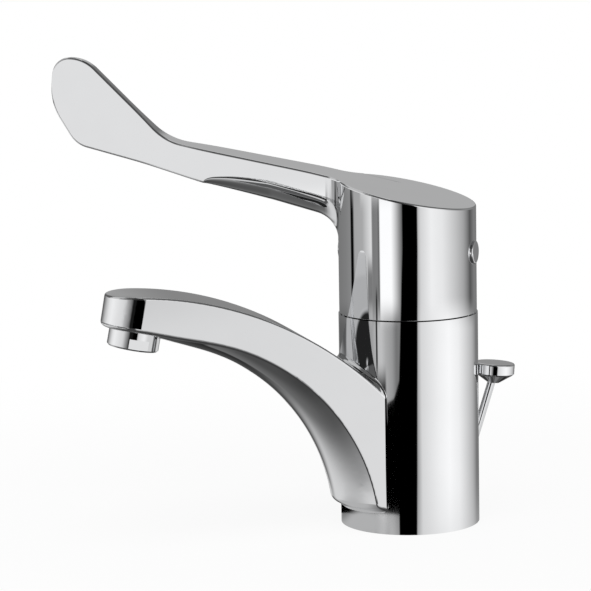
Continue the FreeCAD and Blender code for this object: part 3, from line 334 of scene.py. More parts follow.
class TapStudio(bpy.types.PropertyGroup):
    """Place of the camera and tones of the studio."""

    camera_distance: bpy.props.FloatProperty(
        name="Distance", description="From the column's axis to the camera, level",
        unit="LENGTH", default=1.003)
    camera_height: bpy.props.FloatProperty(
        name="Height", description="Height of the camera over the basin's deck",
        unit="LENGTH", default=0.2363)
    camera_azimuth: bpy.props.FloatProperty(
        name="Azimuth", description="Direction from the column to the camera, from +X",
        subtype="ANGLE", default=math.radians(252.0))
    camera_yaw: bpy.props.FloatProperty(
        name="Yaw", description="How far left of the column's axis the camera looks",
        subtype="ANGLE", default=math.radians(2.333))
    camera_pitch: bpy.props.FloatProperty(
        name="Pitch", description="How far down the camera looks",
        subtype="ANGLE", default=math.radians(8.647))
    camera_roll: bpy.props.FloatProperty(
        name="Roll", description="How far the camera leans to its side",
        subtype="ANGLE", default=math.radians(0.989))
    camera_lens: bpy.props.FloatProperty(
        name="Lens", description="Focal length on a 36 mm sensor, in millimetres",
        default=169.92)
    floor_size: bpy.props.FloatProperty(
        name="Floor", description="Side of the pale floor",
        unit="LENGTH", default=2.4)


# Materials of the finishes


def chrome_finish():
    """Mirror plating: faint changes in polish and a hardly visible waviness of the buffing."""
    look = bpy.context.scene.tap_finishes
    material, shader = new_material("chrome_plating")
    place = shader.object_place()
    polish = shader.noise(place, scale=55.0, detail=4.0, roughness=0.6)
    haze = shader.noise(place, scale=900.0, detail=2.0)
    wave = shader.noise(place, scale=38.0, detail=1.0)
    shader.surface({
        "Base Color": shader.mixed(polish.rise(0.3, 0.7), shade_of(look.chrome_colour, 0.985),
                                   opaque(look.chrome_colour)),
        "Metallic": 1.0,
        "Roughness": look.chrome_roughness + polish * 0.008 + haze * 0.004,
        "Normal": shader.bump(wave, strength=0.05, distance=0.0004),
    })
    return material


def steel_finish():
    """Ground steel: fine scratches across the pin and slightly uneven grey."""
    look = bpy.context.scene.tap_finishes
    material, shader = new_material("ground_steel")
    place = shader.object_place()
    across = shader.stretched(place, (400.0, 400.0, 6000.0))
    scratch = shader.noise(across, scale=1.0, detail=3.0)
    shader.surface({
        "Base Color": shader.mixed(scratch, shade_of(look.steel_colour, 0.86),
                                   opaque(look.steel_colour)),
        "Metallic": 1.0,
        "Roughness": scratch * 0.22 + 0.2,
        "Normal": shader.bump(scratch, strength=0.25, distance=0.00004),
    })
    return material


def brass_finish():
    """Turned brass: rings from the lathe's tool round the tap's axis, and a dulled tone."""
    look = bpy.context.scene.tap_finishes
    material, shader = new_material("turned_brass")
    place = shader.object_place()
    rings = shader.node("ShaderNodeTexWave", {"wave_type": "BANDS", "bands_direction": "Z"},
                        {"Vector": place, "Scale": 620.0, "Distortion": 0.6,
                         "Detail": 1.0})["Fac"]
    tarnish = shader.noise(place, scale=140.0, detail=4.0)
    shader.surface({
        "Base Color": shader.mixed(tarnish.rise(0.35, 0.7), opaque(look.brass_colour),
                                   shade_of(look.brass_colour, 0.82)),
        "Metallic": 1.0,
        "Roughness": tarnish * 0.2 + 0.22,
        "Normal": shader.bump(rings, strength=0.3, distance=0.00003),
    })
    return material


def ceramic_finish():
    """Lapped alumina: nearly white, faintly speckled, with a satin gloss."""
    look = bpy.context.scene.tap_finishes
    material, shader = new_material("lapped_ceramic")
    place = shader.object_place()
    speck = shader.noise(place, scale=2600.0, detail=2.0)
    shader.surface({
        "Base Color": shader.mixed(speck.rise(0.45, 0.75), opaque(look.ceramic_colour),
                                   shade_of(look.ceramic_colour, 0.93)),
        "Roughness": speck * 0.12 + 0.2,
        "Normal": shader.bump(speck, strength=0.1, distance=0.00002),
    })
    return material


def plastic_finish(name, colour):
    """Moulded plastic: the mould's fine grain and a slow change in its gloss."""
    material, shader = new_material(name)
    place = shader.object_place()
    grain = shader.noise(place, scale=3800.0, detail=2.0)
    flow = shader.noise(place, scale=90.0, detail=3.0)
    shader.surface({
        "Base Color": shader.mixed(flow.rise(0.3, 0.75), opaque(colour), shade_of(colour, 0.93)),
        "Roughness": flow * 0.16 + 0.36,
        "Normal": shader.bump(grain, strength=0.25, distance=0.00005),
    })
    return material


def rubber_finish():
    """Matt rubber: almost black with a dusty bloom and a soft pitted skin."""
    look = bpy.context.scene.tap_finishes
    material, shader = new_material("black_rubber")
    place = shader.object_place()
    bloom = shader.noise(place, scale=260.0, detail=5.0, roughness=0.65)
    skin = shader.noise(place, scale=5200.0, detail=2.0)
    shader.surface({
        "Base Color": shader.mixed(bloom.rise(0.4, 0.8), opaque(look.rubber_colour),
                                   shade_of(look.rubber_colour, 1.9)),
        "Roughness": bloom * 0.2 + 0.62,
        "Normal": shader.bump(skin, strength=0.35, distance=0.00006),
    })
    return material


def finish(name):
    """The material of one of the record's slots, made when it is first asked for."""
    look = bpy.context.scene.tap_finishes
    makers = {
        "chrome": ("chrome_plating", chrome_finish),
        "steel": ("ground_steel", steel_finish),
        "brass": ("turned_brass", brass_finish),
        "ceramic": ("lapped_ceramic", ceramic_finish),
        "white_plastic": ("white_plastic",
                          lambda: plastic_finish("white_plastic", look.white_plastic_colour)),
        "grey_plastic": ("grey_plastic",
                         lambda: plastic_finish("grey_plastic", look.grey_plastic_colour)),
        "black_rubber": ("black_rubber", rubber_finish),
    }
    known, maker = makers[name]
    return bpy.data.materials.get(known) or maker()


# The handle


# Lengths in millimetres. Beside a sharp corner stands a point at a hair's distance, which
# keeps the corner crisp.
HAIR = 0.03
BURR_ROUNDING = 0.15
CEILING_ROUNDING = 3.0

# The lever's side outline: distance from the axis, height and rounding of each corner. Its
# ends lie inside the cap, and its upper line lies a little over the cap's slanted top.
LEVER_CORNERS = {
    "brow": (34.0, 128.79, 150.0),
    "neck": (92.5, 138.7, 24.0),
    "shoulder": (124.8, 168.9, 15.0),
    "crown": (137.2, 168.9, 7.0),
    "tip": (139.2, 152.0, 20.0),
    "heel": (129.0, 136.3, 11.0),
}
LEVER_START = 15.0
TOP_LIFT = 0.003

# Half the lever's width at three distances from the axis, and how far to both sides it is
# averaged, so that its tapers meet softly
WIDTH_DISTANCES = (25.0, 76.0, 102.0)
HALF_WIDTHS = (9.8, 7.2, 1.8)
AVERAGED_OVER = 6.0

# Distances from the axis: the sections bend round it up to the first, the roundings of the
# edges are upright before the second and free after the third, the keel fades from the
# fourth to the fifth, and the profiles of the paddle's round end meet at the last.
BENT_UNTIL = 45.0
UPRIGHT_UNTIL = 60.0
FREE_FROM = 70.0
KEEL_FULL = 50.0
KEEL_END = 76.0
POLE = 120.0

# Columns of the lever's outline
U, Z, ALONG = 0, 1, 2


def cap_profile(sizes):
    """The cap's profile (radius, height) from the boss's foot to the outside of the wall.

    It runs up the boss, along the ceiling, down the inside of the wall and round its rim.
    """
    radius, low = sizes.cap_radius, sizes.cap_low
    inner = radius - sizes.cap_wall
    boss, foot, ceiling = sizes.boss_radius, sizes.boss_low, sizes.cap_ceiling
    corner, burr = CEILING_ROUNDING, BURR_ROUNDING
    bend = np.linspace(0, math.pi / 2, 7)
    profile = [(0.0, foot), (boss - HAIR, foot), (boss, foot), (boss, foot + HAIR),
               (boss, ceiling - HAIR), (boss, ceiling), (boss + HAIR, ceiling)]
    profile += [(inner - corner + corner * math.sin(b), ceiling - corner + corner * math.cos(b))
                for b in bend]
    profile += [(inner, low + burr + HAIR)]
    profile += [(inner + burr - burr * math.cos(b), low + burr - burr * math.sin(b))
                for b in bend]
    profile += [(radius - burr + burr * math.sin(b), low + burr - burr * math.cos(b))
                for b in bend]
    profile += [(radius, low + burr + HAIR)]
    return np.array(profile)


def cap_surface(sizes):
    """The cap: its profile carried round the axis through the angle a, and its slanted top.

    The top is the plane z = cap_top + slope * r * cos a. Its rim is an arc of the edge
    radius, centred where both the wall and the plane are one edge radius away.
    """
    points_around, points_over_rim, points_to_axis = 240, 9, 5
    angle = np.linspace(0, 2 * math.pi, points_around, endpoint=False)[None, :]
    slope = sizes.top_slope * np.cos(angle)
    edge, radius = sizes.edge, sizes.cap_radius
    profile = cap_profile(sizes)[:, :, None]
    steady = np.ones_like(angle)
    arc = np.linspace(0, 1, points_over_rim)[:, None] * np.arctan2(1.0, -slope)
    centre = sizes.cap_top + slope * (radius - edge) - edge * np.sqrt(1 + slope * slope)
    rim_radius = radius - edge + edge * np.cos(arc)
    rim_height = centre + edge * np.sin(arc)
    inward = np.linspace(1, 0, points_to_axis)[:, None] * (rim_radius[-1:] - HAIR)
    top_height = sizes.cap_top + slope * inward
    out = np.concatenate((profile[:, 0] * steady, radius * steady, rim_radius, inward))
    up = np.concatenate((profile[:, 1] * steady, centre - HAIR, rim_height, top_height))
    return np.stack((out * np.cos(angle), out * np.sin(angle), up), axis=-1)


def hollow_rounding(away, radius):
    """How far an inner rounding stands out at a distance from the wall that it touches."""
    left = np.clip(radius - away, 0.0, radius)
    return radius - np.sqrt(radius * radius - left * left)


def half_width(sizes, out):
    """Straight tapers between three widths, averaged to both sides, and the flare to the cap."""
    over = np.linspace(-AVERAGED_OVER, AVERAGED_OVER, 13)
    tapers = np.interp(np.add.outer(out, over), WIDTH_DISTANCES, HALF_WIDTHS)
    flare = hollow_rounding(np.maximum(out - sizes.cap_radius, 0), sizes.side_blend)
    return tapers.mean(axis=-1) + flare


def read(line, known, values, wanted):
    """The wanted column of a line, where its known column has the values."""
    return np.interp(values, line[:, known], line[:, wanted])


def lever_outline(sizes):
    """The side outline as (distance, height, length along it), over the paddle and back."""
    (brow_out, brow_height, brow_rounding), *corners = LEVER_CORNERS.values()
    top = sizes.cap_top + sizes.top_slope * LEVER_START
    low = sizes.low_root - sizes.low_slope * (sizes.cap_radius - LEVER_START)
    line = rounded_line([
        (LEVER_START, top + TOP_LIFT, 0), (brow_out, brow_height + TOP_LIFT, brow_rounding),
        *corners, (LEVER_START, low, 0)])
    steps = np.linalg.norm(np.diff(line, axis=0), axis=1)
    return np.column_stack((line, np.concatenate(([0.0], np.cumsum(steps)))))


def lever_stations(sizes):
    """Distances from the axis at which both lines have a profile, closest near the cap."""
    radius = sizes.cap_radius
    before_wall, after_blend, decimals = 0.2, 0.5, 3
    swing = 1 - np.cos(np.linspace(0, math.pi / 2, 12))
    inside_cap = np.linspace(LEVER_START, radius - before_wall, 5)
    beyond_blend = np.linspace(radius + sizes.low_blend + after_blend, POLE, 110)
    stations = np.concatenate((inside_cap, radius + sizes.low_blend * swing,
                               radius + sizes.side_blend * swing, beyond_blend))
    return np.unique(np.round(stations, decimals))


def inward_directions(line, place, is_upper, is_lower):
    """Directions into the blade at places of its outline, which are upright near the cap."""
    near = 0.05
    du = read(line, ALONG, place + near, U) - read(line, ALONG, place - near, U)
    dz = read(line, ALONG, place + near, Z) - read(line, ALONG, place - near, Z)
    size = np.hypot(du, dz)
    u = read(line, ALONG, place, U)
    free = np.where(is_upper | is_lower, smooth_step(u, UPRIGHT_UNTIL, FREE_FROM), 1.0)
    upright = np.where(is_lower, 1.0, -1.0)
    inward = np.stack((dz / size * free, -du / size * free + upright * (1 - free)), axis=-1)
    return inward / np.linalg.norm(inward, axis=1)[:, None]


def lever_surface(sizes):
    """The lever: points of its side outline, each with a profile across the blade.

    A profile runs over the edge of the blade: from the middle line of one side face out to
    that face's edge rounding, across the blade and back to the middle line of the other
    face. The half width W(u) and the roundings depend on the distance u from the axis. Near
    the cap both gain a hollow rounding R - sqrt(R^2 - (R - d)^2) at the distance d from its
    wall, and u becomes sqrt(u^2 - w y^2), so that the sections bend round the axis there.
    The second grid closes the lever's inner end, which lies inside the cap.
    """
    radius = sizes.cap_radius
    line = lever_outline(sizes)
    upper_line = line[:int(np.argmax(line[:, Z]))]
    lower_line = line[int(np.argmax(line[:, U])):][::-1]
    stations = lever_stations(sizes)
    upper = read(upper_line, U, stations, ALONG)
    lower = read(lower_line, U, stations, ALONG)
    along = line[:, ALONG]
    clear = 0.2
    round_end = along[(along > upper[-1] + clear) & (along < lower[-1] - clear)]
    place = np.concatenate((upper, round_end, lower[::-1]))
    number = np.arange(len(place))
    is_upper = number < len(stations)
    is_lower = number >= len(place) - len(stations)
    inward = inward_directions(line, place, is_upper, is_lower)

    # Depth and width of the edge roundings, of which the lower ones sink with the blend
    u = read(line, ALONG, place, U)
    from_cap = np.maximum(u - radius, 0)
    blend = hollow_rounding(from_cap, sizes.low_blend)
    fade = np.sqrt(np.clip((KEEL_END - u) / (KEEL_END - KEEL_FULL), 0.0, 1.0))
    keel = sizes.edge + sizes.keel * fade * is_lower
    across = keel + hollow_rounding(from_cap, sizes.side_blend) * is_lower
    deep = keel + blend * is_lower
    z = read(line, ALONG, place, Z) - blend * is_lower

    # The middle line of the side faces, halfway between the upper and the lower line
    is_end = ~(is_upper | is_lower)
    halfway = (read(upper_line, U, u, Z) + (read(lower_line, U, u, Z) - blend)) / 2
    pole_height = (read(upper_line, U, POLE, Z) + read(lower_line, U, POLE, Z)) / 2
    middle_u = np.where(is_end, POLE, u)
    middle_z = np.where(is_end, pole_height, halfway)

    # One profile a row: side face, edge rounding, strip across the blade, and back
    turn = np.linspace(0, math.pi / 2, 9)[None, :]
    sunk = deep[:, None] * (1 - np.cos(turn))
    sunk = np.concatenate((sunk, sunk[:, -1:] + HAIR), axis=1)
    rounding = np.concatenate((np.sin(turn), [[1.0]]), axis=1)
    edge_u = u[:, None] + inward[:, :1] * sunk
    edge_z = z[:, None] + inward[:, 1:] * sunk
    edge_y = half_width(sizes, edge_u) - across[:, None] * (1 - rounding)
    share = np.array((0.2, 0.4, 0.6, 0.8, 1.0))[None, :]
    side_u = edge_u[:, -1:] + (middle_u[:, None] - edge_u[:, -1:]) * share
    side_z = edge_z[:, -1:] + (middle_z[:, None] - edge_z[:, -1:]) * share
    side_y = half_width(sizes, side_u)
    strip = np.linspace(1, -1, 17)[None, 1:-1]
    level = np.zeros_like(strip)
    strip_u, strip_z = edge_u[:, :1] + level, edge_z[:, :1] + level
    strip_y = edge_y[:, :1] * strip
    flip = np.s_[:, ::-1]
    row_u = np.concatenate((side_u[flip], edge_u[flip], strip_u, edge_u, side_u), axis=1)
    row_z = np.concatenate((side_z[flip], edge_z[flip], strip_z, edge_z, side_z), axis=1)
    row_y = np.concatenate((side_y[flip], edge_y[flip], strip_y, -edge_y, -side_y), axis=1)

    # The bend round the axis moves points along the slopes of the lever's two lines
    bent = 1 - smooth_step(row_u, radius, BENT_UNTIL)
    bent_u = np.sqrt(row_u * row_u - bent * row_y * row_y)
    own = np.where(is_lower, sizes.low_slope, sizes.top_slope)[:, None]
    mean = (sizes.low_slope + sizes.top_slope) / 2
    unpulled = np.zeros((1, 2 * edge_u.shape[1] + strip.shape[1]))
    pull = np.concatenate((share[flip], unpulled, share), axis=1)
    slope = own + (mean - own) * pull
    blade = np.stack((bent_u, row_y, row_z + slope * (bent_u - row_u)), axis=-1)
    return blade, np.concatenate((blade[-1:], blade[:1]))


class TapHandle(bpy.types.Operator):
    """Build the cap and its long lever as one smooth casting"""

    bl_idname = "tap.handle"
    bl_label = "Handle"

    def execute(self, context):
        sizes = context.scene.tap_handle
        blade, end = lever_surface(sizes)
        piece = surface_piece("handle_cap_and_lever",
                              [(cap_surface(sizes), True), (blade, False), (end, False)],
                              "chrome", "lever", turn=sizes.azimuth)
        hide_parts("handle")
        return {"FINISHED"}


# Operators


class TapCamera(bpy.types.Operator):
    """Place the camera where the photograph was taken from"""

    bl_idname = "tap.camera"
    bl_label = "Camera"

    def execute(self, context):
        studio = context.scene.tap_studio
        toward = studio.camera_azimuth
        place = Vector((math.cos(toward) * studio.camera_distance,
                        math.sin(toward) * studio.camera_distance, studio.camera_height))
        heading = toward + math.pi + studio.camera_yaw
        level = Vector((math.cos(heading), math.sin(heading), 0.0))
        side = Vector((math.sin(heading), -math.cos(heading), 0.0))
        down, tall = math.sin(studio.camera_pitch), math.cos(studio.camera_pitch)
        ahead = level * tall - Vector((0, 0, down))
        head = level * down + Vector((0, 0, tall))
        lean, straight = math.sin(studio.camera_roll), math.cos(studio.camera_roll)
        right = side * straight - head * lean
        upward = side * lean + head * straight
        camera = bpy.data.cameras.new("photo_camera")
        camera.lens = studio.camera_lens
        camera.clip_start = 0.01
        holder = bpy.data.objects.new("photo_camera", camera)
        axes = Matrix((right, upward, -ahead)).transposed().to_4x4()
        holder.matrix_world = Matrix.Translation(place) @ axes
        context.scene.collection.objects.link(holder)
        context.scene.camera = holder
        return {"FINISHED"}


# What the plating mirrors, by turn from the camera's side and rise over the horizon, in
# degrees. The greys were set until the plating's tones agreed with the photograph's.
# The table's top, its edge and the room at eye level are rings of (turn, grey).
TABLE_TOP = (
    (-180, 0.6), (-160, 0.12), (-125, 0.13), (-110, 0.25), (-97, 0.45), (-80, 0.3), (-62, 0.4),
    (-50, 0.6), (-45, 0.6), (-38, 0.47), (-27, 0.36), (-20, 0.2), (12, 0.3), (21, 0.78),
    (50, 1.0), (70, 1.1), (90, 1.0), (110, 0.74), (130, 0.5), (148, 0.2), (180, 0.2),
)
TABLE_EDGE = (
    (-180, 0.19), (-150, 0.21), (-125, 0.24), (-109.5, 0.28), (-108, 0.0), (-102, 0.0),
    (-99, 0.42), (-80, 0.45), (-64, 0.8), (-61.8, 0.8), (-60.2, 0.22), (-51, 0.24),
    (-49, 0.16), (-47.8, 0.12), (-46, 1.15), (-27, 1.15), (-20, 0.72), (-14, 0.36),
    (-9.5, 0.16), (12, 0.1), (17, 0.5), (22, 0.76), (40, 1.0), (60, 0.92), (78, 0.72),
    (107, 0.42), (128, 0.1), (146, 0.22), (180, 0.19),
)
EYE_LEVEL = (
    (-180, 0.25), (-165, 0.2), (-152, 0.05), (-144, 0.2), (-130, 0.45), (-117, 0.68),
    (-105, 0.88), (-90, 0.98), (-63, 0.85), (-48, 0.78), (-41, 0.66), (-35, 0.47), (-29, 0.32),
    (-22, 0.18), (-17, 0.01), (12, 0.01), (15, 0.5), (18, 1.1), (50, 1.0), (75, 0.5),
    (100, 0.3), (165, 0.2), (180, 0.25),
)

# Rises between which one ring turns into the next one above it
EDGE_OVER_TOP = (-9.4, -8.7)
ROOM_OVER_EDGE = (-6.8, -4.0)

# Cards and flags of the room, and flags on the floor. Each has its turn from and to with its
# soft side, its rise from and to with its soft end, and its grey.
CARDS = (
    (-55, -52, 0.6, -10.2, -8.6, 0.2, 0.03),
    (-70, -60, 1.5, -9.0, -8.0, 0.3, 0.22),
    (-84, -26, 3, -6.6, -3, 0.4, 0.85),
    (-104, -84, 3, -6.6, -3, 0.4, 0.4),
    (-26, 18, 2, 6, 88, 2.0, 0.04),
    (18, 72, 3, 9, 28, 3.0, 0.8),
    (-112, -72, 4, 9, 48, 2.0, 0.62),
    (-166, -112, 4, 9, 36, 2.0, 0.12),
    (-72, -26, 4, 9, 62, 2.0, 0.12),
    (-166, -66, 6, 38, 63, 3.0, 0.55),
    (-168, 160, 4, 63, 88, 2.0, 0.02),
    (18, 168, 3, 30, 88, 4.0, 0.12),
)
FLOOR_FLAGS = (
    (-36, -1, 4, -95, -16, 2, 0.05),
    (-62, -34, 3, -22.0, -13.9, 0.8, 0.03),
    (-62, -38, 2, -12.2, -10.3, 0.3, 0.03),
)

# The far wall behind the tap: the turns to both sides and the rises over which it sets in,
# its grey, and steps of grey as rise from and to with the change
WALL_TURNS = (162.0, 172.0)
WALL_RISES = (-6.6, -4.0)
WALL_GREY = 0.25
WALL_STEPS = ((4.0, 13.0, 0.19), (22.0, 30.0, 0.2))

# The floor in the same way, but by depth under the horizon. Its turns are from, to and soft.
FLOOR_TURNS = (-186, 170, 3)
FLOOR_DEPTHS = (12.0, 16.0)
FLOOR_GREY = 0.72
FLOOR_STEPS = ((22.0, 52.0, -0.57), (50.0, 66.0, -0.07))

# Two shades on the floor, far behind the tap and close to it: turns, depths and strength
FAR_TURNS = (132.0, 162.0)
FAR_DEPTHS = (17.5, 46.0, 2.5)
FAR_SHADE = 0.9
CLOSE_TURNS = (-120.0, -45.0)
CLOSE_DEPTHS = (23.0, 32.0)
CLOSE_SHADE = 0.4

# The black flag on the camera's side. Each edge has its turn above the first bend, and bends
# of (rise, slope), each of which adds its slope below its rise. Over the low depths the left
# edge jumps to its low turn. The rises are from, to and soft.
FLAG_LEFT = (-8.4, ((-7.7, 2.8), (-10.4, 20.0), (-10.8, 80.0)))
FLAG_LEFT_LOW = -18.0
FLAG_LOW_DEPTHS = (13.05, 13.2)
FLAG_RIGHT = (16.8, ((-7.7, 0.95),))
FLAG_RISES = (-17.0, -3.0, 1.0)
FLAG_BLUR = 1.2

# The floor as the camera sees it, in metres: white, but with a share of shaded paper inside
# the first radius, which has faded out at the second
PAPER_RADII = (0.1, 0.35)
PAPER_SHARE = 0.08

# A glowing disc of floor by the spout's root, which only mirrors see: a painted reflection of
# the bright floor close to the root. Its place, fading radii and glow
PAINTED_REFLECTION_PLACE = (-0.037, -0.008)
PAINTED_REFLECTION_RADII = (0.010, 0.025)
PAINTED_REFLECTION_GLOW = 0.5

# The soft lamp: place, the point that it faces, size in metres and power in watts
LAMP_PLACE = (-0.2, -0.5, 1.5)
LAMP_AIM = (0.0, 0.0, 0.05)
LAMP_SIZE = 1.2
LAMP_POWER = 15.0

WHITE = (1.0, 1.0, 1.0, 1.0)


def band(value, low, high, soft):
    """1 between low and high, with soft ends."""
    return value.rise(low - soft, low + soft) * (1.0 - value.rise(high - soft, high + soft))


def toned(start, share, target):
    """The start turning into the target with the share."""
    return start + (target - start) * share


def stepped(value, grey, steps):
    """The grey changed by each step while the value passes from its low to its high end."""
    for low, high, change in steps:
        grey = value.rise(low, high) * change + grey
    return grey


class MirroredRoom:
    """The grey that a mirror sees, by turn from the camera's side and rise, in degrees."""

    def __init__(self, shader, camera_azimuth):
        self.shader = shader
        ray = shader.node("ShaderNodeTexCoord")["Generated"]
        spun = shader.node("ShaderNodeVectorRotate",
                           {"rotation_type": "Z_AXIS", "invert": False},
                           {"Vector": ray, "Angle": -camera_azimuth})["Vector"]
        part = shader.node("ShaderNodeSeparateXYZ", None, {"Vector": spun})
        self.turn = part["Y"].math("ARCTAN2", part["X"]) * (180 / math.pi)
        self.rise = part["Z"].math("ARCSINE") * (180 / math.pi)
        self.either_side = self.turn.math("ABSOLUTE")
        self.depth = self.rise * -1.0

    def ring(self, stops):
        """The grey of a ring of (turn, grey) at any turn."""
        places = [((turn + 180) / 360, grey) for turn, grey in stops]
        colour = self.shader.node("ShaderNodeValToRGB", {"stops": places},
                                  {"Fac": (self.turn + 180.0) / 360.0})["Color"]
        return self.shader.node("ShaderNodeRGBToBW", None, {"Color": colour})["Val"]

    def with_cards(self, tone, cards):
        """The tone with cards or flags in front of it, the later ones before the earlier."""
        for low, high, soft, bottom, top, blur, grey in cards:
            share = band(self.turn, low, high, soft) * band(self.rise, bottom, top, blur)
            tone = toned(tone, share, grey)
        return tone

    def room(self):
        """The table's top and edge, the room over them, the far wall, cards and flags."""
        tone = toned(self.ring(TABLE_TOP), self.rise.rise(*EDGE_OVER_TOP),
                     self.ring(TABLE_EDGE))
        tone = toned(tone, self.rise.rise(*ROOM_OVER_EDGE), self.ring(EYE_LEVEL))
        behind = self.either_side.rise(*WALL_TURNS) * self.rise.rise(*WALL_RISES)
        tone = toned(tone, behind, stepped(self.rise, WALL_GREY, WALL_STEPS))
        return self.with_cards(tone, CARDS)

    def with_floor(self, tone):
        """The tone over the floor with its two shades, and the flags on the floor."""
        far = self.either_side.rise(*FAR_TURNS) * band(self.depth, *FAR_DEPTHS)
        close = self.turn.rise(*CLOSE_TURNS) * self.depth.rise(*CLOSE_DEPTHS)
        floor = stepped(self.depth, FLOOR_GREY, FLOOR_STEPS)
        floor = floor * (1.0 - far * FAR_SHADE) * (1.0 - close * CLOSE_SHADE)
        under = self.depth.rise(*FLOOR_DEPTHS) * band(self.turn, *FLOOR_TURNS)
        return self.with_cards(toned(tone, under, floor), FLOOR_FLAGS)

    def bent_edge(self, edge, bends):
        """An edge's turn, which changes by the slope of each bend below the bend's rise."""
        for level, slope in bends:
            edge = (self.rise - level).math("MINIMUM", 0.0) * slope + edge
        return edge

    def with_black_flag(self, tone):
        """The tone with the black flag before it."""
        left = toned(self.bent_edge(*FLAG_LEFT), self.depth.rise(*FLAG_LOW_DEPTHS),
                     FLAG_LEFT_LOW)
        right = self.bent_edge(*FLAG_RIGHT)
        share = ((self.turn - left).rise(-FLAG_BLUR, FLAG_BLUR)
                 * (right - self.turn).rise(-FLAG_BLUR, FLAG_BLUR))
        return toned(tone, share * band(self.rise, *FLAG_RISES), 0.0)

    def grey(self):
        """The grey of all of it, in which the later layers hide the earlier."""
        return self.with_black_flag(self.with_floor(self.room()))


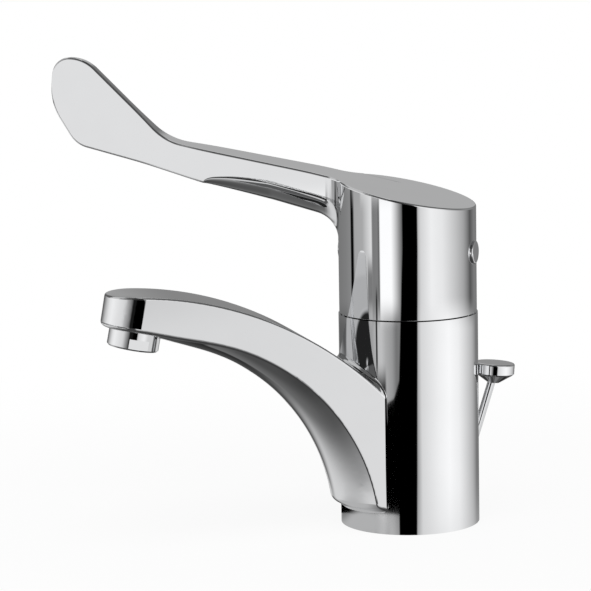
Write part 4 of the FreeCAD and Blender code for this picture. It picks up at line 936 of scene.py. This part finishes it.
class TapStage(bpy.types.Operator):
    """Build the pale floor, the studio's cards and flags, and the soft overhead light"""

    bl_idname = "tap.stage"
    bl_label = "Stage"

    def execute(self, context):
        studio = context.scene.tap_studio
        self.build_floor(context, studio)
        self.build_surroundings(context, studio)
        self.build_light(context)
        context.scene.view_settings.view_transform = "Standard"
        return {"FINISHED"}

    def build_floor(self, context, studio):
        """A square under the tap: white for the camera, with a faint shadow near the tap.

        Mirrors see only a round disc of it, which glows as a painted reflection of the bright
        floor by the spout's root. The rest of it stands in the world's tones.
        """
        half = studio.floor_size / 2
        mesh = bpy.data.meshes.new("floor")
        mesh.from_pydata([(-half, -half, 0), (half, -half, 0), (half, half, 0), (-half, half, 0)],
                         [], [(0, 1, 2, 3)])
        floor = bpy.data.objects.new("floor", mesh)
        context.scene.collection.objects.link(floor)
        material, shader = new_material("pale_floor")
        path = shader.node("ShaderNodeLightPath")
        grain = shader.noise(shader.object_place(), scale=30.0, detail=3.0)
        paper = shader.node("ShaderNodeBsdfDiffuse", None, {
            "Color": shader.mixed(grain, (0.93, 0.93, 0.93, 1.0), (0.95, 0.95, 0.95, 1.0))})
        glow = shader.node("ShaderNodeEmission", None, {"Color": WHITE, "Strength": 1.0})
        place = shader.node("ShaderNodeSeparateXYZ", None, {"Vector": shader.object_place()})

        def distance(x, y):
            """How far the place is from the point (x, y) on the floor."""
            east, north = place["X"] - x, place["Y"] - y
            return (east * east + north * north).math("SQRT")

        whole = distance(0.0, 0.0).rise(*PAPER_RADII) * PAPER_SHARE + (1 - PAPER_SHARE)
        seen = (path["Is Camera Ray"] + path["Is Transmission Ray"]) * whole
        plain = shader.node("ShaderNodeMixShader", None,
                            {0: seen, 1: paper["BSDF"], 2: glow["Emission"]})
        # For mirrors: a glowing disc by the spout's root, which is a painted reflection, and
        # beyond it a gap through which they see the world
        gap = shader.node("ShaderNodeBsdfTransparent", None, {"Color": WHITE})
        painted_reflection = shader.node("ShaderNodeEmission", None,
                            {"Color": WHITE, "Strength": PAINTED_REFLECTION_GLOW})
        mirrored = shader.node("ShaderNodeMixShader", None, {
            0: distance(*PAINTED_REFLECTION_PLACE).rise(*PAINTED_REFLECTION_RADII), 1: painted_reflection["Emission"], 2: gap["BSDF"]})
        mix = shader.node("ShaderNodeMixShader", None,
                          {0: path["Is Glossy Ray"], 1: plain["Shader"], 2: mirrored["Shader"]})
        shader.node("ShaderNodeOutputMaterial", None, {"Surface": mix["Shader"]})
        mesh.materials.append(material)

    def build_surroundings(self, context, studio):
        """White for the camera, and the room's greys for mirrors and for the light."""
        world = bpy.data.worlds.new("studio")
        context.scene.world = world
        world.use_nodes = True
        shader = Shader(world.node_tree)
        grey = MirroredRoom(shader, studio.camera_azimuth).grey()
        path = shader.node("ShaderNodeLightPath")
        room = shader.node("ShaderNodeBackground", None, {"Color": WHITE, "Strength": grey})
        white = shader.node("ShaderNodeBackground", None, {"Color": WHITE, "Strength": 1.0})
        mix = shader.node("ShaderNodeMixShader", None, {
            0: path["Is Camera Ray"] + path["Is Transmission Ray"],
            1: room["Background"], 2: white["Background"]})
        shader.node("ShaderNodeOutputWorld", None, {"Surface": mix["Shader"]})

    def build_light(self, context):
        """One large soft lamp over the tap, which mirrors don't see."""
        lamp = bpy.data.lights.new("soft_box", "AREA")
        lamp.shape = "DISK"
        lamp.size = LAMP_SIZE
        lamp.energy = LAMP_POWER
        holder = bpy.data.objects.new("soft_box", lamp)
        holder.location = LAMP_PLACE
        ahead = Vector(LAMP_AIM) - Vector(LAMP_PLACE)
        holder.rotation_euler = ahead.to_track_quat("-Z", "Y").to_euler()
        holder.visible_glossy = False
        context.scene.collection.objects.link(holder)


class TapInnerFinishes(bpy.types.Operator):
    """Give every piece that keeps its CAD surface the material of its slot"""

    bl_idname = "tap.inner_finishes"
    bl_label = "Finishes"

    def execute(self, context):
        slots = {part["node"]: part["material_slot"] for part in frame["record"]["subparts"]}
        for name, piece in frame["nodes"].items():
            piece.data.materials.clear()
            piece.data.materials.append(finish(slots[name]))
        return {"FINISHED"}


class TapPanel(bpy.types.Panel):
    """The tap's building steps in the sidebar"""

    bl_idname = "VIEW3D_PT_tap"
    bl_label = "Basin mixer tap"
    bl_space_type = "VIEW_3D"
    bl_region_type = "UI"
    bl_category = "Tap"

    def draw(self, context):
        for operator in OPERATORS:
            self.layout.operator(operator.bl_idname)


OPERATORS = (TapCamera, TapStage, TapInnerFinishes, TapHandle)
CLASSES = (TapFinishes, TapHandleSizes, TapStudio, *OPERATORS, TapPanel)


def register():
    for kind in CLASSES:
        bpy.utils.register_class(kind)
    bpy.types.Scene.tap_finishes = bpy.props.PointerProperty(type=TapFinishes)
    bpy.types.Scene.tap_handle = bpy.props.PointerProperty(type=TapHandleSizes)
    bpy.types.Scene.tap_studio = bpy.props.PointerProperty(type=TapStudio)


def unregister():
    del bpy.types.Scene.tap_studio
    del bpy.types.Scene.tap_handle
    del bpy.types.Scene.tap_finishes
    for kind in reversed(CLASSES):
        bpy.utils.unregister_class(kind)


def main():
    register()
    for operator in OPERATORS:
        group, name = operator.bl_idname.split(".")
        getattr(getattr(bpy.ops, group), name)()


if __name__ == "__main__":
    main()
